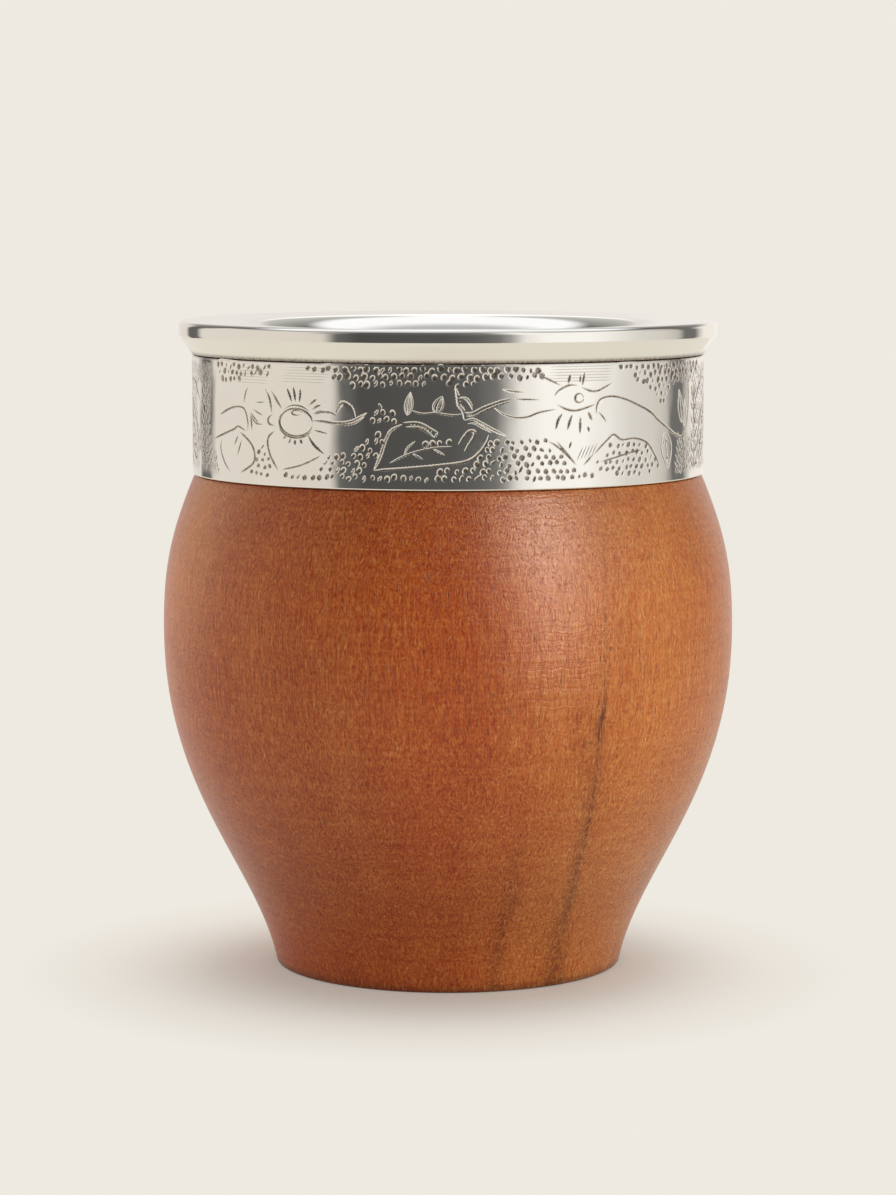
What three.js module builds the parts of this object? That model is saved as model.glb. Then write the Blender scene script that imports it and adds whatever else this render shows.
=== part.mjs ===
// A mate cup turned from one block of wood. A band of sheet metal sits round its neck, a lip of rolled
// sheet covers the rim, and a sheet-metal sleeve lines the mouth behind the lip's collar.
// Millimetres, +Z up, origin at the centre of the foot's underside.
// Every piece is a solid of revolution, so each one is a closed outline of (radius, height) points.
import * as THREE from "three";

// Heights along the axis
const OVERALL_HEIGHT = 100;
const LIP_HEIGHT = 5.1; // from the lip's lower edge to the top of the cup
const BAND_HEIGHT = 18.15;
const BELLY_HEIGHT = 52.4; // where the body is widest

// Wooden body
const BELLY_DIAMETER = 88.2;
const BELLY_WALL = 11;
const FLOOR_THICKNESS = 14;
const FOOT_DIAMETER = 53.7;
const FOOT_EDGE_RADIUS = 0.5;
const FOOT_LEAN = 12; // degrees from upright at which the flank leaves the foot
const SHOULDER_LEAN = 22.5; // degrees from upright at which the flank meets the band
const SHOULDER_STEP = 0.3; // how far the band stands proud of the wood under it
const NECK_CHAMFER = 0.6; // eases the lip onto the neck

// How far each flank curve runs straight on at an end before it bends, as a share of the curve's height
const FOOT_PULL = 0.295;
const LOWER_BELLY_PULL = 0.49;
const UPPER_BELLY_PULL = 0.4;
const SHOULDER_PULL = 0.42;
const HOLLOW_PULL = 0.5;

// Engraved band
const BAND_DIAMETER = 78.9;
const BAND_SHEET = 0.8;
const BAND_EDGE = 0.25; // chamfer on the band's outer edges

// Rolled lip
const LIP_SHEET = 0.9;
const LIP_OVERHANG = 2.05; // how far the bead stands out from the band
const LIP_CROWN_RADIUS = 1.2; // from the upright face of the bead up to the flat top
const LIP_FACE_HEIGHT = 0.8; // the upright face, where the bead is widest
const LIP_BEAD_RADIUS = 2.2; // from the upright face down to the straight underside
const MOUTH_DIAMETER = 54;
const MOUTH_ROLL_RADIUS = 6; // from the flat top down into the mouth
const COLLAR_LENGTH = 4; // straight length below the mouth roll

// Sleeve in the mouth
const SLEEVE_SHEET = 0.8;
const SLEEVE_LENGTH = 16;

// Clearance between pieces that seat on each other
const SEAT_GAP = 0.3;

// Facets
const TURN_SEGMENTS = 64;
const CURVE_STEPS = 10;
const ARC_STEPS = 4;
const SAME_POINT = 1e-6;

// Where the pieces meet, from the top down
const jointHeight = OVERALL_HEIGHT - LIP_HEIGHT;
const bandTop = jointHeight - SEAT_GAP;
const bandBottom = bandTop - BAND_HEIGHT;
const shoulderHeight = bandBottom - SEAT_GAP;
const neckTop = OVERALL_HEIGHT - LIP_SHEET - SEAT_GAP;
const rollHeight = OVERALL_HEIGHT - MOUTH_ROLL_RADIUS; // where the roll meets the collar
const sleeveTop = rollHeight + SEAT_GAP;
const sleeveBottom = sleeveTop - SLEEVE_LENGTH;
const sleeveSeat = sleeveBottom - SEAT_GAP;

// Radii, from the mouth outwards
const mouthRadius = MOUTH_DIAMETER / 2;
const sleeveInside = mouthRadius + LIP_SHEET + SEAT_GAP;
const sleeveOutside = sleeveInside + SLEEVE_SHEET;
const neckBore = sleeveOutside + SEAT_GAP;
const bandOutside = BAND_DIAMETER / 2;
const bandInside = bandOutside - BAND_SHEET;
const neckRadius = bandInside - SEAT_GAP;
const shoulderRadius = bandOutside - SHOULDER_STEP;
const bellyRadius = BELLY_DIAMETER / 2;
const hollowRadius = bellyRadius - BELLY_WALL;
const rollCentre = at(mouthRadius + MOUTH_ROLL_RADIUS, rollHeight);
const neckRound = MOUTH_ROLL_RADIUS - LIP_SHEET - SEAT_GAP; // the wood under the lip's roll

const toRadians = THREE.MathUtils.degToRad;

function at(radius, height) {
  return new THREE.Vector2(radius, height);
}

// A point some way from another, in a direction that leans out from upright by an angle in degrees
function along(start, lean, distance) {
  const angle = toRadians(lean);
  return at(start.x + distance * Math.sin(angle), start.y + distance * Math.cos(angle));
}

// A flank curve that leaves and reaches its ends towards two pull points
function flank(start, startPull, endPull, end) {
  return new THREE.CubicBezierCurve(start, startPull, endPull, end).getPoints(CURVE_STEPS);
}

// A stretch of an ellipse, between two angles in degrees from straight out
function ellipse(centre, halfWidth, halfHeight, from, to, steps) {
  const curve = new THREE.EllipseCurve(
    centre.x, centre.y, halfWidth, halfHeight, toRadians(from), toRadians(to), to < from,
  );
  return curve.getPoints(steps);
}

function arc(centre, radius, from, to) {
  return ellipse(centre, radius, radius, from, to, ARC_STEPS);
}

// Turns an outline about the axis. The lathe turns about Y, so the result is stood up along Z.
function turned(name, outline, material) {
  const points = outline.filter((p, i) => i === 0 || p.distanceTo(outline[i - 1]) > SAME_POINT);
  const geometry = new THREE.LatheGeometry(points, TURN_SEGMENTS);
  geometry.rotateX(Math.PI / 2);
  const mesh = new THREE.Mesh(geometry, material);
  mesh.name = name;
  return mesh;
}

function closed(outline) {
  return [...outline, outline[0].clone()];
}

// The body: foot, flank, shoulder ledge, a neck rounded to the lip's roll, a counterbore that seats the
// sleeve, and the hollow
function woodenBody(material) {
  const footEnd = at(FOOT_DIAMETER / 2, FOOT_EDGE_RADIUS * (1 - Math.sin(toRadians(FOOT_LEAN))));
  const footCentre = at(
    footEnd.x - FOOT_EDGE_RADIUS * Math.cos(toRadians(FOOT_LEAN)), FOOT_EDGE_RADIUS,
  );
  const belly = at(bellyRadius, BELLY_HEIGHT);
  const shoulder = at(shoulderRadius, shoulderHeight);
  const bore = at(sleeveInside, sleeveSeat);
  const hollow = at(hollowRadius, BELLY_HEIGHT);
  const lower = belly.y - footEnd.y;
  const upper = shoulder.y - belly.y;
  const inner = bore.y - hollow.y;
  const neckEnd = THREE.MathUtils.radToDeg(Math.acos((neckBore - rollCentre.x) / neckRound));
  const outline = [
    at(0, 0),
    ...arc(footCentre, FOOT_EDGE_RADIUS, -90, -FOOT_LEAN),
    ...flank(
      footEnd, along(footEnd, FOOT_LEAN, FOOT_PULL * lower),
      along(belly, 0, -LOWER_BELLY_PULL * lower), belly,
    ),
    ...flank(
      belly, along(belly, 0, UPPER_BELLY_PULL * upper),
      along(shoulder, -SHOULDER_LEAN, -SHOULDER_PULL * upper), shoulder,
    ),
    at(neckRadius, shoulderHeight),
    at(neckRadius, neckTop - NECK_CHAMFER),
    at(neckRadius - NECK_CHAMFER, neckTop),
    ...arc(rollCentre, neckRound, 90, neckEnd),
    at(neckBore, sleeveSeat),
    ...flank(
      bore, along(bore, 0, -HOLLOW_PULL * inner), along(hollow, 0, HOLLOW_PULL * inner), hollow,
    ),
    ...ellipse(
      at(0, hollow.y), hollow.x, hollow.y - FLOOR_THICKNESS, 0, -90, CURVE_STEPS,
    ),
  ];
  // The last point lies on the axis, where rounding would leave it a hair off
  outline[outline.length - 1].x = 0;
  return turned("wooden_body", outline, material);
}

function engravedBand(material) {
  const outline = [
    at(bandInside, bandBottom),
    at(bandOutside - BAND_EDGE, bandBottom),
    at(bandOutside, bandBottom + BAND_EDGE),
    at(bandOutside, bandTop - BAND_EDGE),
    at(bandOutside - BAND_EDGE, bandTop),
    at(bandInside, bandTop),
  ];
  return turned("engraved_band", closed(outline), material);
}

// The lip is one sheet of even thickness. Its outside runs from the edge above the band straight out to the
// bead, up its face, over the flat top and down the mouth roll into the collar. Its inside is the same run,
// one sheet thickness further in, walked back.
function rolledLip(material) {
  const crownCentre = at(
    bandOutside + LIP_OVERHANG - LIP_CROWN_RADIUS, OVERALL_HEIGHT - LIP_CROWN_RADIUS,
  );
  const beadCentre = at(
    bandOutside + LIP_OVERHANG - LIP_BEAD_RADIUS, crownCentre.y - LIP_FACE_HEIGHT,
  );
  // The bead ends where a straight line from the lip's edge touches its arc
  const edge = at(bandOutside, jointHeight);
  const toEdge = edge.clone().sub(beadCentre);
  const touch = Math.atan2(toEdge.y, toEdge.x) + Math.acos(LIP_BEAD_RADIUS / toEdge.length());
  const beadEnd = THREE.MathUtils.radToDeg(touch);
  const innerEdge = at(
    edge.x - LIP_SHEET * Math.cos(touch), edge.y - LIP_SHEET * Math.sin(touch),
  );
  const collarEnd = rollHeight - COLLAR_LENGTH;
  const outline = [
    edge,
    ...arc(beadCentre, LIP_BEAD_RADIUS, beadEnd, 0),
    ...arc(crownCentre, LIP_CROWN_RADIUS, 0, 90),
    ...arc(rollCentre, MOUTH_ROLL_RADIUS, 90, 180),
    at(mouthRadius, collarEnd),
    at(mouthRadius + LIP_SHEET, collarEnd),
    ...arc(rollCentre, MOUTH_ROLL_RADIUS - LIP_SHEET, 180, 90),
    ...arc(crownCentre, LIP_CROWN_RADIUS - LIP_SHEET, 90, 0),
    ...arc(beadCentre, LIP_BEAD_RADIUS - LIP_SHEET, 0, beadEnd),
    innerEdge,
  ];
  return turned("rolled_lip", closed(outline), material);
}

function mouthSleeve(material) {
  const outline = [
    at(sleeveInside, sleeveBottom),
    at(sleeveOutside, sleeveBottom),
    at(sleeveOutside, sleeveTop),
    at(sleeveInside, sleeveTop),
  ];
  return turned("mouth_sleeve", closed(outline), material);
}

const oiledWood = new THREE.MeshStandardMaterial({ color: 0xa9592b, roughness: 0.5, metalness: 0 });
const nickelSilver = new THREE.MeshStandardMaterial({ color: 0xd9d3c6, roughness: 0.15, metalness: 1 });

const mateCup = new THREE.Group();
mateCup.add(woodenBody(oiledWood));
mateCup.add(engravedBand(nickelSilver));
mateCup.add(rolledLip(nickelSilver));
mateCup.add(mouthSleeve(nickelSilver));

export default mateCup;
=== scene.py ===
# %% [markdown]
# # A turned mate cup with an engraved mouthpiece
#
# The cup is one block of oiled hardwood, turned on a lathe. Its mouthpiece is nickel silver: an engraved
# band round the neck, a lip of rolled sheet on top of it, and a sleeve inside the mouth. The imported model
# gives every piece its size and place. This lesson makes what the eye sees: fine turned forms, real cuts in
# the metal, and materials that follow the grain of the wood.

# %% Load the frame
import math

import bmesh
import bpy
import numpy as np
from mathutils.geometry import delaunay_2d_cdt
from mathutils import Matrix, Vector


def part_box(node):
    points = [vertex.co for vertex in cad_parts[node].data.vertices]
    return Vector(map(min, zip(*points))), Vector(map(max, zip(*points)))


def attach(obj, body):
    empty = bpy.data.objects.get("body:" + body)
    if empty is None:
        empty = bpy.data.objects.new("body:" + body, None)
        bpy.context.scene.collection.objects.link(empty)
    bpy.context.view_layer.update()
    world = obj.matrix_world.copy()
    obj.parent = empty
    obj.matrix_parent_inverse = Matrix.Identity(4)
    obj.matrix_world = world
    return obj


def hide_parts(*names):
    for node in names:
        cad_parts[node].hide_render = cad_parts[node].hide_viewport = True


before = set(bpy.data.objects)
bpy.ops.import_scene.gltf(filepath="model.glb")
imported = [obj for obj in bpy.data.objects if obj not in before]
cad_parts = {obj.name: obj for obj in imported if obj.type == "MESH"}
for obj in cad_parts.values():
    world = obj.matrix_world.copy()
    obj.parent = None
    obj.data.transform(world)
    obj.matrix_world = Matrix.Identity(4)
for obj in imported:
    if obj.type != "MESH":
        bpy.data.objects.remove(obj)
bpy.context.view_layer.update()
MM = 0.001  # the outlines below are in millimetres, and Blender works in metres


def node_box(node):
    """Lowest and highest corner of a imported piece, in millimetres."""
    low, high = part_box(node)
    return np.array(low) / MM, np.array(high) / MM


_, body_high = node_box("wooden_body")
band_low, band_high = node_box("engraved_band")
lip_low, lip_high = node_box("rolled_lip")
sleeve_low, sleeve_high = node_box("mouth_sleeve")
print("pieces in the frame:", sorted(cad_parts))

# %% [markdown]
# ## Camera
#
# The picture was taken with a long lens from a little above the lip, so the lip's ellipse is very flat and
# the sides hardly converge. Fitting those ellipses gives the camera's distance, height and tilt. The lens
# follows from the focal length in pixels, because Blender fits its sensor to the longer side of the picture.

# %% Make the camera
PICTURE_HEIGHT = 1195  # pixels, the longer side
FOCAL_PIXELS = 3645.8
SENSOR = 36.0
CAMERA_DISTANCE = 563.9  # millimetres in front of the axis
CAMERA_HEIGHT = 117.5
CAMERA_TILT = 6.14  # degrees below level
NEAREST_SEEN = 0.01  # metres

camera = bpy.data.objects.new("camera", bpy.data.cameras.new("camera"))
camera.data.sensor_width = SENSOR
camera.data.lens = SENSOR * FOCAL_PIXELS / PICTURE_HEIGHT
camera.data.clip_start = NEAREST_SEEN
camera.location = (0, -CAMERA_DISTANCE * MM, CAMERA_HEIGHT * MM)
camera.rotation_euler = (math.radians(90 - CAMERA_TILT), 0, 0)
bpy.context.scene.collection.objects.link(camera)
bpy.context.scene.camera = camera
bpy.context.scene.view_settings.view_transform = "Standard"
print("lens in mm:", round(camera.data.lens, 1))

# %% [markdown]
# ## Outlines and turned surfaces
#
# Everything here was made on a lathe or rolled to a circle, so every shape is an outline of radius and
# height carried round the axis. The outline is a list of points from arcs and curves. Turning it is one
# array operation: no loop visits a vertex. Blender's Screw modifier could do this too, but an array lets the
# engraving push each point of the band in by its own depth.

# %% Outline helpers
SAME_POINT = 1e-6  # millimetres


def arc(centre, radius, start, end, steps):
    """Points at centre + radius * (cos a, sin a), with a going from start to end in degrees."""
    a = np.radians(np.linspace(start, end, steps + 1))
    return np.stack([centre[0] + radius * np.cos(a), centre[1] + radius * np.sin(a)], axis=1)


def bend(start, start_pull, end_pull, end, steps):
    """A cubic Bezier curve: the four points weighted by (1-t)^3, 3t(1-t)^2, 3t^2(1-t) and t^3."""
    t = np.linspace(0, 1, steps + 1)[:, None]
    p = [np.asarray(q, float) for q in (start, start_pull, end_pull, end)]
    return p[0] * (1 - t) ** 3 + 3 * p[1] * t * (1 - t) ** 2 + 3 * p[2] * t ** 2 * (1 - t) + p[3] * t ** 3


def line(start, end, steps=1):
    """Points spread evenly from start to end."""
    return np.linspace(start, end, steps + 1)


def outline(*stretches):
    """Joins stretches of points and drops a point that repeats the one before it."""
    points = np.concatenate([np.atleast_2d(s) for s in stretches])
    step = np.linalg.norm(np.diff(points, axis=0), axis=1)
    return points[np.concatenate([[True], step > SAME_POINT])]


# %% Turning helpers
BAKE_MAP = "OFBake"  # a map that lays the whole surface of a piece flat on one square
MERGE_DISTANCE = 1e-7  # metres


def turned_grid(points, turns, closed):
    """A surface of revolution as points, faces and their corners on the flat map. Outline point (r, z) at
    angle a lands on (r sin a, -r cos a, z), so a = 0 faces the camera and a grows to the right. A closed
    outline joins its last row to its first."""
    rows = len(points)
    angle = 2 * np.pi * np.arange(turns) / turns
    radius = np.repeat(points[:, :1], turns, axis=1)
    height = np.repeat(points[:, 1:], turns, axis=1)
    co = np.stack([radius * np.sin(angle), -radius * np.cos(angle), height], axis=-1)
    row_count = rows if closed else rows - 1
    i, j = np.meshgrid(np.arange(row_count), np.arange(turns), indexing="ij")
    corner_rows = np.stack([i, i, i + 1, i + 1], axis=-1)
    corner_columns = np.stack([j, j + 1, j + 1, j], axis=-1)
    corners = (corner_rows % rows) * turns + corner_columns % turns
    flat = np.stack([corner_columns / turns, corner_rows / row_count], axis=-1)
    return co.reshape(-1, 3), corners.reshape(-1, 4), flat.reshape(-1, 4, 2)


def make_piece(name, points, groups, tarnish=None):
    """A smooth mesh object from points in millimetres and groups of faces with their corners on the flat
    map. Tarnish is stored with each point, for the metal's shader."""
    loops = np.concatenate([faces.ravel() for faces, _ in groups]).astype(np.int32)
    sides = np.concatenate([np.full(len(faces), faces.shape[1]) for faces, _ in groups])
    flat = np.concatenate([corners.reshape(-1, 2) for _, corners in groups]).astype(np.float32)
    mesh = bpy.data.meshes.new(name)
    mesh.vertices.add(len(points))
    mesh.vertices.foreach_set("co", (points * MM).ravel())
    mesh.loops.add(len(loops))
    mesh.loops.foreach_set("vertex_index", loops)
    mesh.polygons.add(len(sides))
    mesh.polygons.foreach_set("loop_start", (np.cumsum(sides) - sides).astype(np.int32))
    mesh.polygons.foreach_set("use_smooth", np.ones(len(sides), bool))
    mesh.uv_layers.new(name=BAKE_MAP).uv.foreach_set("vector", flat.ravel())
    if tarnish is not None:
        layer = mesh.attributes.new("tarnish", "FLOAT", "POINT")
        layer.data.foreach_set("value", tarnish.astype(np.float32))
    mesh.update(calc_edges=True)
    mesh.validate()
    piece = bpy.data.objects.new(name, mesh)
    bpy.context.scene.collection.objects.link(piece)
    print(name, "has", len(mesh.polygons), "faces")
    return piece


def turned(name, points, turns, closed, tarnish=None):
    """A turned piece. Tarnish is given per outline point and goes all the way round."""
    co, faces, flat = turned_grid(points, turns, closed)
    return make_piece(name, co, [(faces, flat)], None if tarnish is None else np.repeat(tarnish, turns))


def merge_doubles(piece, distance=MERGE_DISTANCE):
    """Merges points that coincide: those that an outline leaves on the axis, or the two sides of a seam."""
    bm = bmesh.new()
    bm.from_mesh(piece.data)
    bmesh.ops.remove_doubles(bm, verts=bm.verts, dist=distance)
    bm.to_mesh(piece.data)
    bm.free()


# %% [markdown]
# ## The wooden body
#
# A turner shapes the outside first: a narrow foot with its edge just eased, a flank that swells to the belly
# in one sweep, and a shoulder that leans back in under the band. Two curves give that flank, one below the
# belly and one above it. Then the neck is stepped down for the metal, and the inside is bored and
# hollowed to an egg-shaped bottom.

# %% Measure the wooden body
BELLY_HEIGHT = 52.4
BELLY_WALL = 11.0
FLOOR_THICKNESS = 14.0
FOOT_RADIUS = 26.85
FOOT_EDGE = 0.5
FOOT_LEAN = math.radians(12)
SHOULDER_LEAN = math.radians(22.5)
SHOULDER_STEP = 0.3
SEAT_GAP = 0.3
HAIRLINE = 0.1  # what is seen of the gap at the band's two joints
BAND_SHEET = 0.8
LIP_SHEET = 0.9
MOUTH_RADIUS = 27.0
MOUTH_ROLL = 6.0
NECK_CHAMFER = 0.6
NECK_ROOM = 0.5  # more room for the dished top of the lip

band_radius = band_high[0]
neck_radius = band_radius - BAND_SHEET - SEAT_GAP
neck_top = body_high[2] - NECK_ROOM
bore_radius = sleeve_high[0] + SEAT_GAP
hollow_top = MOUTH_RADIUS + LIP_SHEET + SEAT_GAP
sleeve_seat = sleeve_low[2] - SEAT_GAP
belly = np.array([body_high[0], BELLY_HEIGHT])
foot = np.array([FOOT_RADIUS, FOOT_EDGE * (1 - math.sin(FOOT_LEAN))])
foot_centre = foot - FOOT_EDGE * np.array([math.cos(FOOT_LEAN), -math.sin(FOOT_LEAN)])
shoulder = np.array([band_radius - SHOULDER_STEP, band_low[2] - HAIRLINE])
hollow = np.array([belly[0] - BELLY_WALL, BELLY_HEIGHT])
roll_centre = np.array([MOUTH_RADIUS + MOUTH_ROLL, lip_high[2] - MOUTH_ROLL])
neck_round = MOUTH_ROLL - LIP_SHEET - SEAT_GAP  # the wood under the roll of the lip
neck_end = math.degrees(math.acos((bore_radius - roll_centre[0]) / neck_round))
print("belly, shoulder and neck radius in mm:", belly[0], shoulder[0], neck_radius)

# %% Turn the wooden body
TURNS = 256
CURVE_STEPS = 48
SHOULDER_EDGE = 0.25
SHOULDER_EDGE_START = 20  # degrees, where the flank runs into that edge
# how far a flank runs straight on at an end before it bends, as a share of the flank's height
FOOT_PULL = 0.295
LOWER_BELLY_PULL = 0.49
UPPER_BELLY_PULL = 0.4
SHOULDER_PULL = 0.42
HOLLOW_PULL = 0.5
BODY_CREASE = math.radians(40)  # faces that meet at more than this keep a sharp edge

up = np.array([0.0, 1.0])
foot_way = np.array([math.sin(FOOT_LEAN), math.cos(FOOT_LEAN)])
shoulder_way = np.array([-math.sin(SHOULDER_LEAN), math.cos(SHOULDER_LEAN)])
lower = belly[1] - foot[1]
upper = shoulder[1] - belly[1]
inner = sleeve_seat - hollow[1]
quarter = np.linspace(0, np.pi / 2, CURVE_STEPS + 1)
bowl_depth = hollow[1] - FLOOR_THICKNESS
bowl = np.stack([hollow[0] * np.cos(quarter), hollow[1] - bowl_depth * np.sin(quarter)], axis=1)
bowl[-1, 0] = 0.0
body_outline = outline(
    line((0, 0), (foot_centre[0], 0), steps=16),
    arc(foot_centre, FOOT_EDGE, -90, -math.degrees(FOOT_LEAN), steps=8),
    bend(
        foot, foot + FOOT_PULL * lower * foot_way,
        belly - LOWER_BELLY_PULL * lower * up, belly, CURVE_STEPS,
    ),
    bend(
        belly, belly + UPPER_BELLY_PULL * upper * up,
        shoulder - SHOULDER_PULL * upper * shoulder_way, shoulder, CURVE_STEPS,
    )[:-1],
    arc(shoulder - SHOULDER_EDGE, SHOULDER_EDGE, SHOULDER_EDGE_START, 90, steps=4),
    line((neck_radius, shoulder[1]), (neck_radius, neck_top - NECK_CHAMFER)),
    [(neck_radius - NECK_CHAMFER, neck_top)],
    arc(roll_centre - (0, NECK_ROOM), neck_round, 90, neck_end, steps=12),
    line((bore_radius, sleeve_seat), (hollow_top, sleeve_seat)),
    bend(
        (hollow_top, sleeve_seat), (hollow_top, sleeve_seat - HOLLOW_PULL * inner),
        hollow + HOLLOW_PULL * inner * up, hollow, CURVE_STEPS,
    ),
    bowl,
)
wooden_body = turned("turned_wood_body", body_outline, TURNS, closed=False)
merge_doubles(wooden_body)
wooden_body.data.set_sharp_from_angle(angle=BODY_CREASE)

# %% [markdown]
# ## The rolled lip and the sleeve
#
# The lip is one sheet. From its edge above the band it runs straight out and up to a bead with a narrow
# upright face, turns over a tight crown to a broad top that falls a little towards the mouth, and rolls down
# into it, where a straight collar ends it. The tight crown matters: it squeezes what it mirrors into one thin
# line along the edge. The underside follows one sheet thickness further in. A lip rolled by hand is never
# quite level, so the finished one leans a little. The sleeve behind the collar is a ring with eased edges.

# %% Roll the lip
CROWN_RADIUS = 0.95
FACE_HEIGHT = 0.93
BEAD_RADIUS = 1.2
TOP_DISH = 2.0  # degrees by which the top falls towards the mouth
LIP_HEIGHT = 5.1
LIP_LEAN = 0.0055  # how far the top rises for each millimetre towards the back
OUTSIDE_STRIP = 1.0  # how far inside the band's face the lip still counts as its outside
JOINT_STAIN = 1.1  # height of the tarnish that buffing leaves above the joint
JOINT_TARNISH = 0.72  # and how strong it is at the joint
LIP_CREASE = math.radians(50)

lip_top = lip_high[2]
lip_edge = np.array([band_radius, lip_top - LIP_HEIGHT])
crown_centre = np.array([lip_high[0], lip_top]) - CROWN_RADIUS
bead_centre = np.array([lip_high[0] - BEAD_RADIUS, crown_centre[1] - FACE_HEIGHT])
# the dished top touches the crown's arc and the arc of the mouth roll
dish = math.radians(TOP_DISH)
crown_to_roll = crown_centre[0] - roll_centre[0]
drop = (MOUTH_ROLL - CROWN_RADIUS + crown_to_roll * math.sin(dish)) / math.cos(dish)
mouth_centre = np.array([roll_centre[0], crown_centre[1] - drop])
top_way = np.array([-math.sin(dish), math.cos(dish)])
# the bead's arc ends where a straight line from the lip's edge touches it
to_edge = lip_edge - bead_centre
touch = math.atan2(to_edge[1], to_edge[0]) + math.acos(BEAD_RADIUS / np.linalg.norm(to_edge))
touch_way = np.array([math.cos(touch), math.sin(touch)])
bead_end = math.degrees(touch)
hem = LIP_SHEET / 2  # the collar's end is rounded
lip_outline = outline(
    line(lip_edge, bead_centre + BEAD_RADIUS * touch_way, steps=10),
    arc(bead_centre, BEAD_RADIUS, bead_end, 0, steps=24),
    arc(crown_centre, CROWN_RADIUS, 0, 90 + TOP_DISH, steps=24),
    line(crown_centre + CROWN_RADIUS * top_way, mouth_centre + MOUTH_ROLL * top_way, steps=8),
    arc(mouth_centre, MOUTH_ROLL, 90 + TOP_DISH, 180, steps=32),
    line((MOUTH_RADIUS, mouth_centre[1]), (MOUTH_RADIUS, lip_low[2] + hem), steps=6),
    arc((MOUTH_RADIUS + hem, lip_low[2] + hem), hem, 180, 360, steps=8),
    arc(mouth_centre, MOUTH_ROLL - LIP_SHEET, 180, 90 + TOP_DISH, steps=16),
    arc(crown_centre, CROWN_RADIUS - LIP_SHEET, 90 + TOP_DISH, 0, steps=8),
    arc(bead_centre, BEAD_RADIUS - LIP_SHEET, 0, bead_end, steps=12),
    [lip_edge - LIP_SHEET * touch_way],
)
outside = lip_outline[:, 0] > band_radius - OUTSIDE_STRIP
above_joint = (lip_outline[:, 1] - lip_edge[1]) / JOINT_STAIN
lip_tarnish = outside * JOINT_TARNISH * np.clip(1 - above_joint, 0, 1)
rolled_lip = turned("rolled_metal_lip", lip_outline, TURNS, closed=True, tarnish=lip_tarnish)
rolled_lip.data.set_sharp_from_angle(angle=LIP_CREASE)

# %% Lean the lip and make the sleeve
# a point rises by its distance behind the axis times the lean, in full at the top and not at all at the edge
spots = np.empty(3 * len(rolled_lip.data.vertices), np.float32)
rolled_lip.data.vertices.foreach_get("co", spots)
spots = spots.reshape(-1, 3)
risen = np.clip((spots[:, 2] / MM - lip_edge[1]) / LIP_HEIGHT, 0, 1)
spots[:, 2] += LIP_LEAN * risen * spots[:, 1]
rolled_lip.data.vertices.foreach_set("co", spots.ravel())

sleeve_sheet = sleeve_high[0] - hollow_top
sleeve_middle = hollow_top + sleeve_sheet / 2
sleeve_outline = outline(
    arc((sleeve_middle, sleeve_low[2] + sleeve_sheet / 2), sleeve_sheet / 2, 180, 360, steps=8),
    arc((sleeve_middle, sleeve_high[2] - sleeve_sheet / 2), sleeve_sheet / 2, 0, 180, steps=8),
)
mouth_sleeve = turned("mouth_sleeve_ring", sleeve_outline, TURNS, closed=True)

# %% [markdown]
# ## The engraving
#
# The band is cut by hand. A graver leaves tapered V-shaped lines, and a small punch leaves rows of dents that
# roughen the ground between the flowers. Each line is a row of points on the unrolled band: u runs round it
# in millimetres from the front, v runs up from its lower edge. A texture could only darken these lines.
# Here every cut lowers the surface, so it catches the light as a real one does.
#
# First come the tools: a graver stroke, then leaves, fans of rays and ovals that are made of strokes.

# %% Graver strokes
HALF_TURN = math.pi * band_radius  # the design fills half the band, and the other half repeats it
# half the width of a line in millimetres, from a scratch to the boldest cut
HAIR = 0.08
FINE = 0.18
LINE = 0.26
PETAL = 0.28
STRONG = 0.3
BOLD = 0.35
CUT_DEPTH = 0.1
RIPPLE = 0.16  # the hand rocks as it pushes, so a line is wider and narrower in turn
STROKE_STEP = 0.3
TAPER = 1.6
TAPER_SHARE = 0.4  # the most that a taper takes of a short stroke


def graver(points, half_width=LINE, depth=CUT_DEPTH):
    """A cut through a few points, as rows of (u, v, half width, depth). Between points it is a Catmull-Rom
    curve. Width and depth grow with the root of the distance from the nearer end until the taper is over, as
    a graver enters and leaves, and the width ripples from point to point."""
    p = np.asarray(points, float)
    longest = np.linalg.norm(np.diff(p, axis=0), axis=1).max()
    p = np.concatenate([2 * p[:1] - p[1:2], p, 2 * p[-1:] - p[-2:-1]])
    t = np.linspace(0, 1, math.ceil(longest / STROKE_STEP) + 1, endpoint=False)[None, :, None]
    a, b, c, d = (p[k:len(p) - 3 + k][:, None, :] for k in range(4))
    curve = 2 * b + (c - a) * t + (2 * a - 5 * b + 4 * c - d) * t ** 2 + (3 * b - a - 3 * c + d) * t ** 3
    uv = np.concatenate([0.5 * curve.reshape(-1, 2), p[-2:-1]])
    run = np.concatenate([[0], np.cumsum(np.linalg.norm(np.diff(uv, axis=0), axis=1))])
    taper = min(TAPER, TAPER_SHARE * run[-1])
    swell = np.sqrt(np.clip(np.minimum(run, run[-1] - run) / taper, 0, 1))
    rock = 1 + RIPPLE * (-1.0) ** np.arange(len(uv))
    return [np.column_stack([uv, half_width * swell * rock, depth * swell])]


def engrave(*rows):
    """Freehand cuts from rows that hold a half width and the points that the cut passes through."""
    return [cut for half_width, *path in rows for cut in graver(path, half_width)]


# %% Ovals, fans and hatching
OVAL_POINTS = 17
CURL = np.array([[0], [0.35], [1.0]])  # how far a ray has curled at its start, middle and end


def oval(centre, wide, high, start=0, end=360, **cut):
    """A stretch of an ellipse between two angles in degrees, with half axes wide and high."""
    a = np.radians(np.linspace(start, end, OVAL_POINTS))
    return graver(np.column_stack([centre[0] + wide * np.cos(a), centre[1] + high * np.sin(a)]), **cut)


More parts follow.
